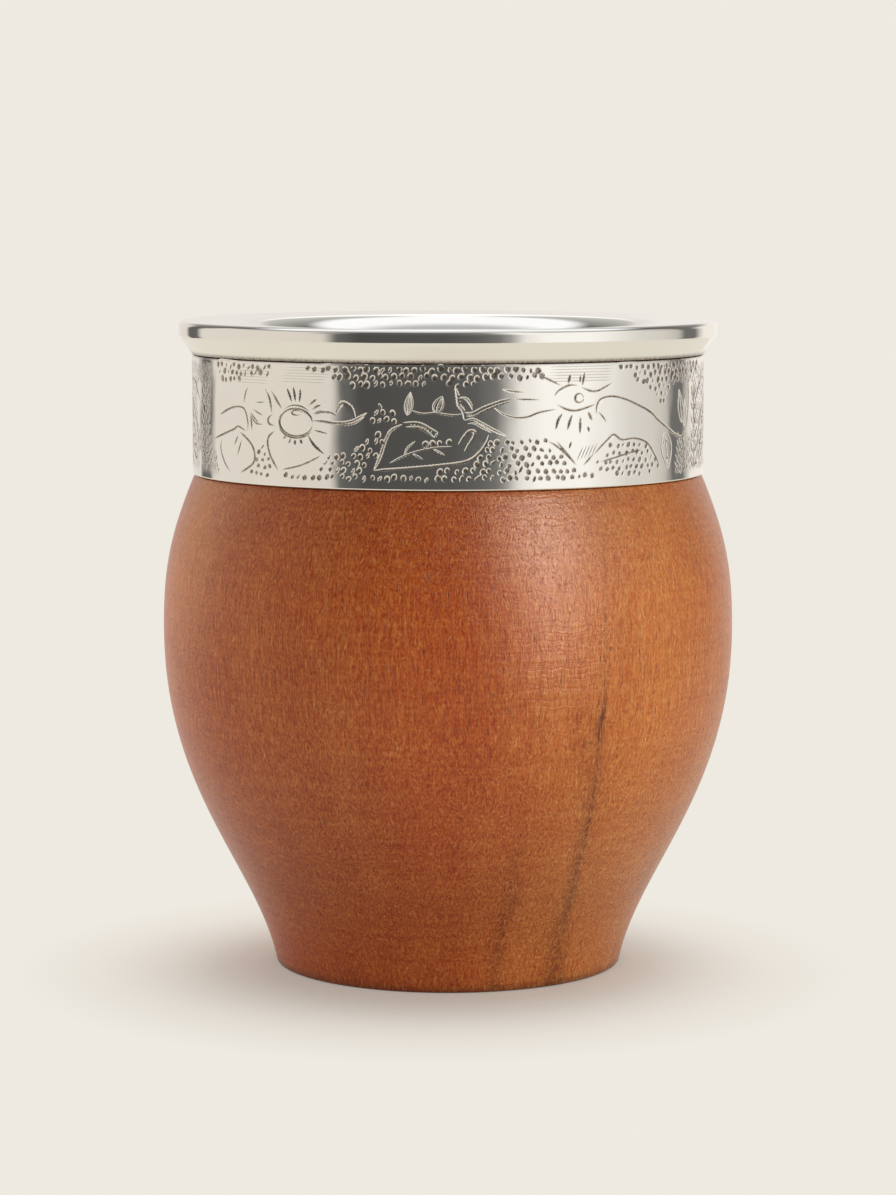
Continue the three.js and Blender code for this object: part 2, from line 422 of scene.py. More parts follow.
def fan(centre, angles, inner, outer, curl=0.0, **cut):
    """Rays at the given angles in degrees, from the inner to the outer radius, each curled sideways."""
    rays = []
    for a in np.radians(angles):
        way = np.array([math.cos(a), math.sin(a)])
        side = np.array([-way[1], way[0]])
        r = np.linspace(inner, outer, 3)[:, None]
        rays += graver(centre + r * way + side * curl * CURL, **cut)
    return rays


def hatch(start, step, way, count, **cut):
    """Parallel straight cuts: the first runs from start along way, and each next one is moved on by step."""
    start, step, way = np.asarray(start, float), np.asarray(step, float), np.asarray(way, float)
    lines = []
    for k in range(count):
        lines += graver([start + k * step, start + k * step + way], **cut)
    return lines


# %% Leaves and sprigs
LEAF_SKEW = 0.8  # below 1 a leaf is widest in the half that is nearer its base
RIB = np.array([[0.02], [0.5], [0.9]])  # shares of a leaf's length that its rib passes
RIB_BOW = 0.2
VEIN_STARTS = (0.2, 0.65)
VEIN_RUN = 0.14
VEIN_REACH = 0.7
STEM_BOW = (0.3, 0)
SPRIG_STARTS = (0.05, 0.85)
SPRIG_BEND = 0.6  # share of a sprig leaf's reach at which it bends up
SPRIG_RISE = (0.5, 1.9)  # and how far it has risen there and at its tip


def leaf(base, tip, left, right, veins=0, **cut):
    """Two edges that part at the base and meet at the tip, and a rib between them. At a share t of the way
    each edge stands off the axis by its bulge times sin(pi t^skew). Veins leave the rib in pairs and lean to
    the tip."""
    base, tip = np.asarray(base, float), np.asarray(tip, float)
    axis = tip - base
    side = np.array([-axis[1], axis[0]]) / np.linalg.norm(axis)
    t = np.linspace(0, 1, 9)[:, None]
    bulge = np.sin(np.pi * t ** LEAF_SKEW)
    cuts = graver(base + t * axis + side * left * bulge, **cut)
    cuts += graver(base + t * axis - side * right * bulge, **cut)
    bow = RIB_BOW * (left - right) * side * np.array([[0], [1], [0]])
    cuts += graver(base + RIB * axis + bow, **cut)
    for start in np.linspace(*VEIN_STARTS, veins):
        end = start + VEIN_RUN
        reach = VEIN_REACH * math.sin(math.pi * end ** LEAF_SKEW)
        for bulge_side in (left, -right):
            cuts += graver([base + start * axis, base + end * axis + side * bulge_side * reach], FINE)
    return cuts


def sprig(base, tip, pairs, reach):
    """An upright stem with pairs of bent leaf strokes. At a share t of the stem a leaf reaches out by
    reach * (1.15 - 0.6 t), so the leaves get shorter towards the tip."""
    base, tip = np.asarray(base, float), np.asarray(tip, float)
    cuts = graver([base, (base + tip) / 2 + STEM_BOW, tip])
    for t in np.linspace(*SPRIG_STARTS, pairs):
        start = base + t * (tip - base)
        length = reach * (1.15 - 0.6 * t)
        for side in (-1, 1):
            knee = start + (SPRIG_BEND * side * length, SPRIG_RISE[0])
            cuts += graver([start, knee, start + (side * length, SPRIG_RISE[1])])
    return cuts


# %% [markdown]
# Now the design: two open flowers, a broad leaf between them with a forked twig above it, a leaf filled with
# punch marks, tall sprigs at the sides, and stems that tie them together. It is the sort of flower work that
# silversmiths have long put on such bands. Fine ruled lines fill the sheet under the lip.

# %% Draw the round flower and what grows beside it
round_flower = np.array([-23.6, 9.6])
strokes = oval(round_flower, 3.0, 2.0)
strokes += oval(round_flower, 3.1, 2.5, 40, 140, half_width=FINE)
strokes += oval(round_flower, 3.3, 2.3, 200, 335, half_width=FINE)
strokes += oval(round_flower + (0.2, 1.4), 0.9, 0.35, half_width=FINE)
strokes += fan(round_flower, [76, 90, 103], 3.0, 5.2, 0.4)
strokes += fan(round_flower, [24, 35, 47], 3.4, 5.3, -0.4, half_width=BOLD)
strokes += engrave(
    (STRONG, (-29.5, 14.3), (-28.6, 12.9), (-28.1, 10.8)),
    (BOLD, (-28.2, 14.1), (-27.1, 12.6), (-26.0, 11.3)),
    (BOLD, (-27.8, 10.8), (-28.9, 10.0), (-28.7, 9.2), (-27.3, 8.9)),
)
strokes += fan(round_flower, [228, 248, 268, 290], 2.5, 3.4, half_width=BOLD)
strokes += engrave(
    (BOLD, (-27.4, 8.4), (-29.0, 7.0), (-28.6, 4.7), (-26.8, 2.2)),
    (LINE, (-26.6, 2.5), (-22.9, 3.3), (-20.0, 4.5), (-19.0, 5.2)),
    (STRONG, (-21.4, 7.8), (-20.3, 6.4), (-18.6, 5.1)),
    (FINE, (-20.4, 8.6), (-18.0, 8.1)),
)
# the stem to its right and a small pointed leaf
strokes += engrave(
    (LINE, (-20.3, 10.7), (-19.0, 11.2), (-17.5, 11.2), (-16.5, 10.7)),
    (LINE, (-20.6, 10.0), (-18.7, 9.9), (-16.7, 9.7), (-14.2, 10.0), (-11.8, 11.3)),
    (FINE, (-17.0, 9.4), (-14.2, 9.6), (-12.2, 10.7)),
    (BOLD, (-16.7, 11.0), (-15.8, 12.6), (-14.4, 12.0), (-13.6, 10.4)),
)
# the leaf and the twig to its left
strokes += engrave(
    (LINE, (-33.2, 14.6), (-34.0, 13.5), (-34.4, 11.9)),
    (LINE, (-41.2, 10.0), (-38.7, 10.9), (-36.5, 11.4), (-34.4, 11.2), (-33.5, 9.4), (-33.5, 7.8)),
    (LINE, (-32.9, 10.4), (-32.6, 9.2), (-32.5, 8.0)),
)
strokes += fan((-34.2, 12.6), [-8, -34, -52], 2.4, 4.8, 0.5, half_width=FINE)
strokes += engrave(
    (LINE, (-33.2, 10.7), (-31.6, 9.2), (-29.6, 9.1)),
    (LINE, (-43.0, 6.4), (-40.4, 7.1), (-37.2, 8.0), (-36.0, 8.5), (-35.0, 8.3), (-33.6, 7.8)),
    (LINE, (-40.6, 6.8), (-40.9, 4.8), (-39.6, 2.8), (-37.8, 1.5)),
    (BOLD, (-35.8, 7.9), (-33.2, 6.5), (-32.0, 5.0), (-32.3, 3.2), (-35.6, 1.5)),
    (LINE, (-35.8, 7.3), (-37.0, 5.6)),
    (LINE, (-34.9, 6.8), (-36.2, 4.0)),
)
print("cuts so far:", len(strokes))

# %% Draw the broad leaf and the forked twig in the middle
FOLD_DEPTH = 0.05  # of the hatching along the leaf's fold

strokes += engrave(
    (LINE, (-10.9, 2.9), (-9.9, 5.0), (-9.1, 7.3), (-8.3, 8.7), (-6.6, 9.7)),
    (LINE, (-10.9, 2.9), (-6.9, 3.2), (-1.6, 3.7), (2.6, 4.3), (4.4, 5.4), (5.6, 7.0), (5.9, 8.2)),
    (LINE, (-6.6, 9.9), (-4.2, 9.8), (-2.7, 9.1), (-1.4, 8.5)),
    (LINE, (-6.2, 9.3), (-4.1, 9.1), (-2.8, 8.4), (-1.9, 7.7)),
    (FINE, (-1.4, 8.6), (-2.0, 7.7)),
)
strokes += hatch((-5.4, 9.35), (0.42, -0.13), (0.3, 0.42), 8, half_width=FINE, depth=FOLD_DEPTH)
strokes += engrave(
    (FINE, (-8.6, 4.0), (-5.6, 5.4), (-2.4, 6.2), (0.6, 6.5)),
    (FINE, (-6.4, 5.0), (-5.9, 6.2), (-4.7, 7.3)),
    (FINE, (-3.6, 5.9), (-2.6, 7.2)),
    (FINE, (-5.2, 5.5), (-3.6, 4.6)),
    (FINE, (-2.2, 6.2), (-0.4, 5.2)),
    (LINE, (1.4, 6.7), (2.4, 8.0), (3.1, 8.7), (3.8, 8.6), (3.7, 7.8), (2.9, 6.6), (2.3, 5.7)),
    (BOLD, (1.0, 15.2), (1.4, 13.8), (1.6, 12.5), (2.2, 11.6), (2.4, 10.2)),
    (LINE, (1.7, 13.6), (2.6, 13.4), (3.2, 12.7), (3.6, 11.7)),
    (LINE, (2.2, 11.4), (3.6, 11.3), (5.0, 12.0), (7.2, 12.8), (9.2, 13.4)),
    (FINE, (2.6, 10.9), (3.8, 10.9), (5.2, 11.6), (7.2, 12.4), (9.2, 13.0)),
    (LINE, (2.4, 10.3), (3.6, 10.4), (4.7, 9.9), (6.5, 8.9), (8.6, 7.9)),
    (FINE, (2.8, 9.8), (3.8, 9.8), (4.8, 9.3), (6.4, 8.4)),
    (FINE, (6.6, 12.1), (8.1, 11.1), (9.9, 10.6), (11.7, 10.7), (13.5, 11.3), (16.2, 11.7)),
    (LINE, (7.8, 14.7), (9.3, 14.4), (11.2, 14.2)),
    (FINE, (9.4, 13.3), (11.4, 13.2), (13.6, 13.1)),
)
strokes += leaf((-5.9, 10.9), (-5.4, 14.4), 0.5, 0.5, half_width=FINE)
strokes += leaf((-1.8, 11.2), (-0.8, 13.8), 0.7, 0.6, half_width=FINE)
strokes += engrave((FINE, (-5.6, 11.8), (-3.8, 11.2), (-1.8, 11.3), (0.6, 11.0), (2.2, 11.2)))
print("cuts so far:", len(strokes))

# %% Draw the open flower, the stems and the sprigs
TUFT_DEPTH = 0.04  # of a tuft of grass
RULED_DEPTH = 0.03  # of the ruled lines under the lip

open_flower = np.array([19.9, 13.2])
strokes += oval(open_flower, 0.7, 0.65)
strokes += engrave(
    (LINE, (13.2, 16.7), (14.9, 16.0), (17.0, 15.0)),
    (LINE, (15.8, 13.6), (16.4, 14.3), (18.2, 15.1), (19.8, 15.0)),
    (LINE, (20.2, 14.8), (21.9, 14.2), (23.2, 14.2), (24.5, 14.7), (26.2, 15.4)),
    (LINE, (16.2, 12.4), (17.6, 11.7), (19.0, 11.4), (20.5, 11.6), (23.0, 12.3)),
    (LINE, (18.4, 16.8), (18.0, 15.3)),
    (FINE, (20.1, 16.6), (20.0, 15.4)),
    (LINE, (20.8, 17.0), (20.4, 15.0)),
    (PETAL, (17.1, 11.1), (16.4, 10.1), (16.0, 8.7)),
    (PETAL, (18.7, 10.9), (18.3, 9.9), (17.9, 8.6)),
    (LINE, (20.1, 10.6), (20.0, 8.0)),
    (BOLD, (21.4, 11.3), (22.2, 9.8)),
    (LINE, (21.4, 9.2), (21.6, 8.2)),
    (LINE, (14.7, 7.1), (16.1, 6.4), (18.1, 4.8), (19.5, 3.4)),
    (LINE, (16.2, 7.1), (17.6, 5.5), (19.4, 3.6)),
    (LINE, (22.4, 5.0), (20.6, 3.3)),
    (FINE, (18.6, 7.0), (18.2, 5.9)),
)
strokes += hatch((19.5, 4.1), (0.62, 0.12), (1.1, 2.1), 5, half_width=HAIR, depth=TUFT_DEPTH)
strokes += engrave(
    (
        LINE, (22.9, 10.8), (23.0, 12.0), (23.8, 13.0), (25.9, 13.3), (28.5, 12.8), (31.4, 11.8),
        (33.9, 10.8), (36.1, 9.4), (38.8, 8.0), (41.0, 7.0), (43.2, 6.6), (44.8, 7.6),
    ),
    (FINE, (23.2, 11.2), (24.1, 10.4), (24.8, 9.5)),
    (
        LINE, (22.4, 4.7), (23.5, 5.8), (25.0, 7.0), (26.2, 7.7), (27.8, 6.9), (30.4, 7.0), (33.1, 6.3),
        (34.9, 4.6), (36.6, 2.4),
    ),
    (LINE, (23.6, 3.8), (26.4, 4.3), (29.4, 4.9), (32.4, 5.3)),
)
strokes += leaf((37.6, 7.6), (38.8, 2.0), 1.5, 1.3, veins=2, half_width=FINE)
strokes += engrave((LINE, (45.4, 15.8), (45.8, 12.4), (45.5, 10.0), (44.8, 7.4)))
strokes += leaf((43.2, 8.6), (42.0, 13.8), 0.9, 0.7)
strokes += leaf((44.0, 8.0), (44.2, 12.4), 0.6, 0.6, half_width=FINE)
strokes += sprig((42.8, 0.9), (42.9, 6.4), 5, 1.9)
strokes += sprig((48.6, 1.2), (48.0, 14.4), 6, 1.7)
strokes += sprig((-46.4, 1.2), (-46.6, 14.6), 8, 2.2)
strokes += leaf((51.0, 2.6), (57.4, 12.6), 2.4, 2.4, veins=4)
strokes += leaf((-51.0, 2.6), (-57.6, 12.4), 2.4, 2.4, veins=4)
strokes += engrave(
    (LINE, (49.0, 11.6), (52.4, 14.6), (56.6, 14.9), (60.6, 12.6)),
    (LINE, (-49.4, 11.4), (-53.0, 14.4), (-57.4, 14.6), (-61.0, 12.4)),
)
strokes += hatch((-37.6, 15.1), (0.3, 0.44), (9.4, 0.0), 6, half_width=FINE, depth=RULED_DEPTH)
strokes += hatch((-27.4, 15.5), (0.25, 0.42), (9.6, 0.0), 6, half_width=FINE, depth=RULED_DEPTH)
strokes += hatch((14.6, 15.7), (0.1, 0.42), (11.6, 0.0), 6, half_width=FINE, depth=RULED_DEPTH)
print("cuts in all:", len(strokes))

# %% [markdown]
# The punched ground fills the corners of the design: a strip under the lip, deepest over the broad leaf, and
# the space along the lower edge. A few corner points bound each patch. Marks stand on a loose triangular
# grid inside it. Most are small oval dents with a flat bottom, a little out of upright, and some are short
# dashes of the graver.
#
# The two ends of the design are filled with short upright flecks, as if reeds grew there. They leave only a
# leaf-shaped piece of the sheet bare.

# %% Bound the patches of ground
grounds = [
    [
        (-22.4, 17.8), (-18.0, 16.6), (-14.4, 14.9), (-11.6, 14.6), (-4.0, 15.3), (0.2, 15.4),
        (3.4, 14.8), (8.0, 16.2), (14.2, 16.4), (14.6, 17.8),
    ],
    [(-42.6, 17.8), (-41.2, 15.2), (-38.0, 14.6), (-33.0, 16.0), (-28.6, 15.6), (-27.6, 17.8)],
    [
        (27.2, 17.8), (29.6, 16.4), (32.6, 14.8), (34.8, 13.4), (36.8, 11.2), (38.6, 12.4), (39.4, 14.8),
        (44.0, 15.6), (50.0, 16.0), (50.4, 17.8),
    ],
    [(-34.8, 0.9), (-32.0, 2.8), (-31.0, 6.0), (-29.2, 5.8), (-27.8, 1.6), (-27.4, 0.9)],
    [
        (-26.6, 0.9), (-26.0, 1.8), (-20.2, 2.9), (-18.4, 4.8), (-13.0, 6.4), (-10.0, 8.6), (-9.4, 7.6),
        (-10.8, 4.4), (-12.2, 2.4), (-10.8, 1.9), (-3.0, 2.6), (2.6, 3.6), (5.2, 5.4), (6.2, 8.0),
        (9.0, 7.4), (14.2, 8.2), (15.2, 6.2), (17.4, 4.6), (19.2, 2.9), (20.6, 2.8), (22.4, 3.2),
        (23.0, 1.6), (14.0, 1.4), (4.0, 1.5), (-10.0, 0.9), (-20.0, 0.9),
    ],
    [(-11.6, 10.4), (-10.6, 12.4), (-8.8, 12.4), (-7.0, 11.0), (-7.6, 9.6), (-9.4, 9.2)],
    [(-3.8, 6.8), (-2.0, 7.6), (0.6, 7.8), (1.4, 7.0), (-0.6, 6.6)],
    [
        (22.6, 3.4), (24.2, 5.2), (26.4, 7.2), (28.0, 6.5), (30.4, 6.6), (33.4, 5.9), (35.0, 4.4),
        (36.2, 2.4), (32.0, 1.5), (26.0, 1.5),
    ],
]
reeds = [
    [(-61.4, 1.2), (-61.4, 17.6), (-44.2, 17.6), (-44.6, 6.0), (-42.4, 4.4), (-41.2, 1.2)],
    [
        (61.4, 1.2), (61.4, 17.6), (37.0, 17.6), (39.2, 14.9), (47.2, 14.6), (47.6, 7.0), (41.6, 5.4),
        (40.6, 1.2),
    ],
]
bare_leaves = [
    [
        (-49.6, 6.6), (-51.4, 9.2), (-51.6, 12.6), (-50.2, 14.8), (-47.8, 14.0), (-46.8, 11.0),
        (-47.6, 8.2),
    ],
    [(-50.4, 1.2), (-50.2, 4.0), (-49.0, 4.2), (-48.4, 1.2)],
]


def inside(points, corners):
    """True where a point lies inside a polygon: a level ray from it crosses an odd number of edges."""
    odd = np.zeros(len(points), bool)
    for (u0, v0), (u1, v1) in zip(corners, corners[1:] + corners[:1]):
        spans = (v0 > points[:, 1]) != (v1 > points[:, 1])
        crossing = u0 + (points[:, 1] - v0) * (u1 - u0) / (v1 - v0 + 1e-12)
        odd ^= spans & (points[:, 0] < crossing)
    return odd


def inside_any(points, patches):
    """True where a point lies inside at least one of several polygons."""
    return np.any([inside(points, corners) for corners in patches], axis=0)


print("patches of ground:", len(grounds), "and of reeds:", len(reeds))

# %% Punch the ground
SEED = 7
DESIGN_END = 61.2  # how far the grids reach to either side of the front
PUNCH_SPACING = 1.19
PUNCH_ROWS = 16
PUNCH_LOW = 1.8  # height of the lowest row
PUNCH_MARGIN = 0.65  # from the highest row to the band's upper edge
PUNCH_JITTER = 0.24
DASH_SHARE = 0.2  # of the marks that are short dashes
# the random ranges below are (lowest, highest), and the leans are (mean, spread)
DASH_LEAN = (0.2, 0.14)
DASH_REACH = (0.35, 0.6)
MARK_SIZES = (0.78, 1.12)
MARK_LEAN = (-0.2, 0.3)  # radians
MARK_BLOW = (0.7, 1.0)  # how hard the punch was struck
HIGH_GROUND = (12, 15)  # heights between which marks grow larger towards the lip
HIGH_GROWTH = (1.0, 1.14)

rng = np.random.default_rng(SEED)
face_height = band_high[2] - band_low[2]
grid_u, grid_v = np.meshgrid(
    np.arange(-DESIGN_END, DESIGN_END, PUNCH_SPACING),
    np.linspace(PUNCH_LOW, face_height - PUNCH_MARGIN, PUNCH_ROWS),
)
grid_u = grid_u + 0.5 * PUNCH_SPACING * (np.arange(len(grid_u)) % 2)[:, None]
marks = np.column_stack([grid_u.ravel(), grid_v.ravel()])
marks = marks + rng.uniform(-PUNCH_JITTER, PUNCH_JITTER, marks.shape)
marks = marks[inside_any(marks, grounds)]
dashed = rng.uniform(size=len(marks)) < DASH_SHARE
dash_way = np.column_stack([rng.normal(*DASH_LEAN, len(marks)), rng.uniform(*DASH_REACH, len(marks))])
for middle, way in zip(marks[dashed], dash_way[dashed]):
    strokes += graver([middle - way, middle + way])
marks = marks[~dashed]
mark_size = rng.uniform(*MARK_SIZES, len(marks)) * np.interp(marks[:, 1], HIGH_GROUND, HIGH_GROWTH)
mark_lean = rng.normal(*MARK_LEAN, len(marks))
mark_blow = rng.uniform(*MARK_BLOW, len(marks))
print("punch marks on half the band:", len(marks))

# %% Cut the reeds
FLECK_SPACING = 0.7
FLECK_ROW = 1.25
FLECK_STAGGER = 0.6  # every other column is moved up by this
FLECK_LOW = 1.9
FLECK_MARGIN = 0.6  # the grid ends this far below the band's upper edge
FLECK_TOP = 0.9  # and no fleck's middle is nearer to it than this
FLECK_JITTER = (0.12, 0.3)
FLECK_LEAN = (0, 0.12)
FLECK_REACH = (0.35, 0.75)
FLECK_DEPTH = 0.06

fleck_u, fleck_v = np.meshgrid(
    np.arange(-DESIGN_END, DESIGN_END, FLECK_SPACING),
    np.arange(FLECK_LOW, face_height - FLECK_MARGIN, FLECK_ROW),
)
fleck_v = fleck_v + FLECK_STAGGER * (np.arange(fleck_v.shape[1]) % 2)
flecks = np.column_stack([fleck_u.ravel(), fleck_v.ravel()])
flecks = flecks + rng.uniform(-1, 1, flecks.shape) * FLECK_JITTER
flecks = flecks[inside_any(flecks, reeds)]
flecks = flecks[~inside_any(flecks, bare_leaves)]
flecks = flecks[flecks[:, 1] < face_height - FLECK_TOP]
fleck_way = np.column_stack([rng.normal(*FLECK_LEAN, len(flecks)), rng.uniform(*FLECK_REACH, len(flecks))])
for middle, way in zip(flecks, fleck_way):
    strokes += graver([middle - way, middle + way], FINE, FLECK_DEPTH)
print("flecks on half the band:", len(flecks))

# %% [markdown]
# A plain grid fine enough for these cuts would need millions of faces. Instead the unrolled face is cut into
# triangles along the cuts themselves: the middle line and both rims of every stroke, and two ovals for every
# mark, become edges of a Delaunay triangulation. Sparse points between them carry the curve of
# the band. The depth of a point follows from its distance to the cuts, and edges at the rims stay sharp.

# %% Lay out the points and edges of the cuts
BAND_COLUMNS = 720
FACE_ROWS = 15
BAND_EDGE = 0.25
MARK_WIDE = 0.43  # half axes of a mark
MARK_HIGH = 0.54
MARK_BOTTOM = 0.46  # share of them at which its flat bottom ends
MARK_STEPS = 12


def leaning(lean):
    """The matrix that turns rows of (u, v) anticlockwise by an angle in radians."""
    return np.array([[math.cos(lean), math.sin(lean)], [-math.sin(lean), math.cos(lean)]])


def stroke_lines(stroke):
    """Points and edges of one cut: its middle line and its two rims, which meet that line at both ends."""
    middle = stroke[:, :2]
    way = np.gradient(middle, axis=0)
    side = np.column_stack([-way[:, 1], way[:, 0]]) / np.linalg.norm(way, axis=1, keepdims=True)
    off = (side * stroke[:, 2:3])[1:-1]
    n, m = len(middle), len(off)
    left = np.concatenate([[0], n + np.arange(m), [n - 1]])
    right = np.concatenate([[0], n + m + np.arange(m), [n - 1]])
    chains = [np.arange(n), left, right]
    edges = np.concatenate([np.column_stack([c[:-1], c[1:]]) for c in chains])
    return np.concatenate([middle, middle[1:-1] + off, middle[1:-1] - off]), edges


def mark_lines(middle, size, lean):
    """Points and edges of one punch mark: an oval round its flat bottom and one round the whole mark."""
    a = 2 * np.pi * np.arange(MARK_STEPS) / MARK_STEPS
    rim = size * np.column_stack([MARK_WIDE * np.cos(a), MARK_HIGH * np.sin(a)]) @ leaning(lean)
    ring = np.column_stack([np.arange(MARK_STEPS), (np.arange(MARK_STEPS) + 1) % MARK_STEPS])
    rings = np.concatenate([ring, ring + MARK_STEPS])
    return np.concatenate([middle + MARK_BOTTOM * rim, middle + rim]), rings


face_low, face_high = BAND_EDGE, face_height - BAND_EDGE
column = np.linspace(-HALF_TURN / 2, HALF_TURN / 2, BAND_COLUMNS // 2 + 1)
row = np.linspace(face_low, face_high, FACE_ROWS + 1)
points, edges = [np.stack(np.meshgrid(column, row), axis=-1).reshape(-1, 2)], []
count = len(points[0])
groups = [stroke_lines(stroke) for stroke in strokes]
groups += [mark_lines(*mark) for mark in zip(marks, mark_size, mark_lean)]
for group_points, group_edges in groups:
    points.append(group_points)
    edges.append(group_edges + count)
    count += len(group_points)
points, edges = np.concatenate(points), np.concatenate(edges)
print("points:", len(points), "edges:", len(edges))

# %% Cut the face into triangles
CUT_TOLERANCE = 1e-5  # points closer than this become one

cut_face = delaunay_2d_cdt(points.tolist(), edges.tolist(), [], 0, CUT_TOLERANCE, False)
flat_points = np.array([tuple(p) for p in cut_face[0]])
triangles = np.array(cut_face[2])
p, q, r = (flat_points[triangles[:, k]] for k in range(3))
clockwise = (q[:, 0] - p[:, 0]) * (r[:, 1] - p[:, 1]) < (r[:, 0] - p[:, 0]) * (q[:, 1] - p[:, 1])
triangles[clockwise] = triangles[clockwise][:, ::-1]
print("triangles on half the face:", len(triangles))

# %% Find the depth of every point
RIM_SHARE = 0.08  # a point this near to a rim, as a share of the half width, counts as uncut
WIDEST = 0.45  # no cut reaches further than this from its middle line
FULL_TARNISH = 0.06  # a cut this deep or deeper can't be buffed at all
MARK_DEPTH = 0.1
MARK_REACH = 1.2  # points within this many half heights of a mark are looked at
WALL = (MARK_BOTTOM + 0.02, 0.98)  # shares of a mark's half axes between which its wall rises
ROUGH_REEDS = 0.26  # tarnish of the sheet between the flecks
ROUGH_STRIP = 0.13  # and between the marks of the strip under the lip
SHEET_WAVE = 0.02  # the sheet isn't a perfect cylinder


def stroke_depth(spots, stroke):
    """How deep one cut is at some spots: the depth at the nearest point of its middle line times
    (1 - distance / half width). The second result is the same as a share of the stroke's greatest depth."""
    start, run = stroke[:-1], np.diff(stroke, axis=0)
    to_spot = spots[:, None, :] - start[None, :, :2]
    t = np.clip((to_spot * run[:, :2]).sum(-1) / (run[:, :2] ** 2).sum(-1), 0, 1)
    near = start[None] + t[..., None] * run[None]
    away = np.linalg.norm(spots[:, None, :] - near[..., :2], axis=-1)
    share = 1 - away / np.maximum(near[..., 2], 1e-9)
    share = np.clip((share - RIM_SHARE) / (1 - RIM_SHARE), 0, 1)
    deep = (share * near[..., 3]).max(axis=1)
    return deep, deep / stroke[:, 3].max()


depth = np.zeros(len(flat_points))
rough_reeds = inside_any(flat_points, reeds) & ~inside_any(flat_points, bare_leaves)
tarnish = np.maximum(ROUGH_REEDS * rough_reeds, ROUGH_STRIP * inside(flat_points, grounds[0]))
for stroke in strokes:
    low, high = stroke[:, :2].min(axis=0) - WIDEST, stroke[:, :2].max(axis=0) + WIDEST
    close = np.nonzero(np.all((flat_points > low) & (flat_points < high), axis=1))[0]
    cut, share = stroke_depth(flat_points[close], stroke)
    depth[close] = np.maximum(depth[close], cut)
    tarnish[close] = np.maximum(tarnish[close], share * min(1, stroke[:, 3].max() / FULL_TARNISH))

for middle, size, lean, blow in zip(marks, mark_size, mark_lean, mark_blow):
    close = np.nonzero(np.abs(flat_points - middle).max(axis=1) < MARK_REACH * size * MARK_HIGH)[0]
    off = (flat_points[close] - middle) @ leaning(-lean)
    away = np.hypot(off[:, 0] / MARK_WIDE, off[:, 1] / MARK_HIGH) / size
    wall = np.interp(away, WALL, [1, 0])
    depth[close] = np.maximum(depth[close], blow * MARK_DEPTH * wall)
    tarnish[close] = np.maximum(tarnish[close], blow * wall)

# slow waves that cross each other round the band and up it, and die out at its edges
turn = 2 * flat_points[:, 0] / band_radius
rise = (flat_points[:, 1] - face_low) / (face_high - face_low)
wave = np.sin(5 * turn + 4 * rise) * np.sin(3 * rise + 3 * turn) + 0.6 * np.sin(11 * turn - 7 * rise)
depth += SHEET_WAVE * 0.5 * (1 + wave / 1.6) * np.sin(np.pi * rise)
print("deepest cut in mm:", round(float(depth.max()), 3))

# %% [markdown]
# The second half of the face repeats the first, turned by 180 degrees. A turned strip closes the band round
# its edges and its inside, and shares its columns with the face, so the two join vertex to vertex.

# %% Make the band
EDGE_TARNISH = 0.42  # on the band's rounded edges and inside
RIM_TARNISH = 0.1  # where those edges run out into the face
BACK_MAP = 0.08  # the turned strip takes this share of the flat map
FACE_MAP = 0.1  # and the face starts here
SEAM = 5e-8  # metres
CUT_CREASE = math.radians(9)

band_inside = band_radius - BAND_SHEET
low_edge = band_low[2]
high_edge = band_high[2] + SEAT_GAP - HAIRLINE  # the sheet is drawn on to leave a hairline under the lip
back_outline = outline(
    [(band_radius, band_low[2] + face_high)],
    arc((band_radius - BAND_EDGE, high_edge - BAND_EDGE), BAND_EDGE, 0, 90, steps=3),
    [(band_inside, high_edge), (band_inside, low_edge)],
    arc((band_radius - BAND_EDGE, low_edge + BAND_EDGE), BAND_EDGE, -90, 0, steps=3),
    [(band_radius, band_low[2] + face_low)],
)
edge_tarnish = np.full(len(back_outline), EDGE_TARNISH)
edge_tarnish[[0, -2]] = RIM_TARNISH
edge_tarnish[-1] = 0
back_points, back_quads, back_map = turned_grid(back_outline, BAND_COLUMNS, closed=False)
angle = flat_points[:, :1] / band_radius + np.array([[0, np.pi]])
radius = (band_radius - depth)[:, None]
height = np.repeat(band_low[2] + flat_points[:, 1:], 2, axis=1)
face_points = np.stack([radius * np.sin(angle), -radius * np.cos(angle), height], axis=-1)
face_points = np.concatenate([face_points[:, 0], face_points[:, 1]])
face_triangles = np.concatenate([triangles, triangles + len(flat_points)])
share_u = flat_points[:, 0] / (2 * HALF_TURN) + 0.25
share_v = FACE_MAP + (1 - FACE_MAP) * rise
face_map = np.column_stack([np.concatenate([share_u, share_u + 0.5]), np.tile(share_v, 2)])
engraved_band = make_piece(
    "engraved_metal_band", np.concatenate([face_points, back_points]),
    [(face_triangles, face_map[face_triangles]), (back_quads + len(face_points), back_map * (1, BACK_MAP))],
    np.concatenate([tarnish, tarnish, np.repeat(edge_tarnish, BAND_COLUMNS)]),
)
merge_doubles(engraved_band, SEAM)
engraved_band.data.set_sharp_from_angle(angle=CUT_CREASE)

# %% [markdown]
# ## Colours and nodes
#
# Colours are written as they look on a screen, in sRGB hex, and turned to the linear values that the
# renderer wants. One small function adds a node, sets its properties, and fills or links its sockets.


# %% Colour and node helpers
def linear(hex_colour):
    """sRGB to linear: c / 12.92 up to 0.04045, and ((c + 0.055) / 1.055)^2.4 above it."""
    c = np.array([int(hex_colour[k:k + 2], 16) for k in (1, 3, 5)]) / 255
    rgb = np.where(c <= 0.04045, c / 12.92, ((c + 0.055) / 1.055) ** 2.4)
    return (*rgb.tolist(), 1.0)


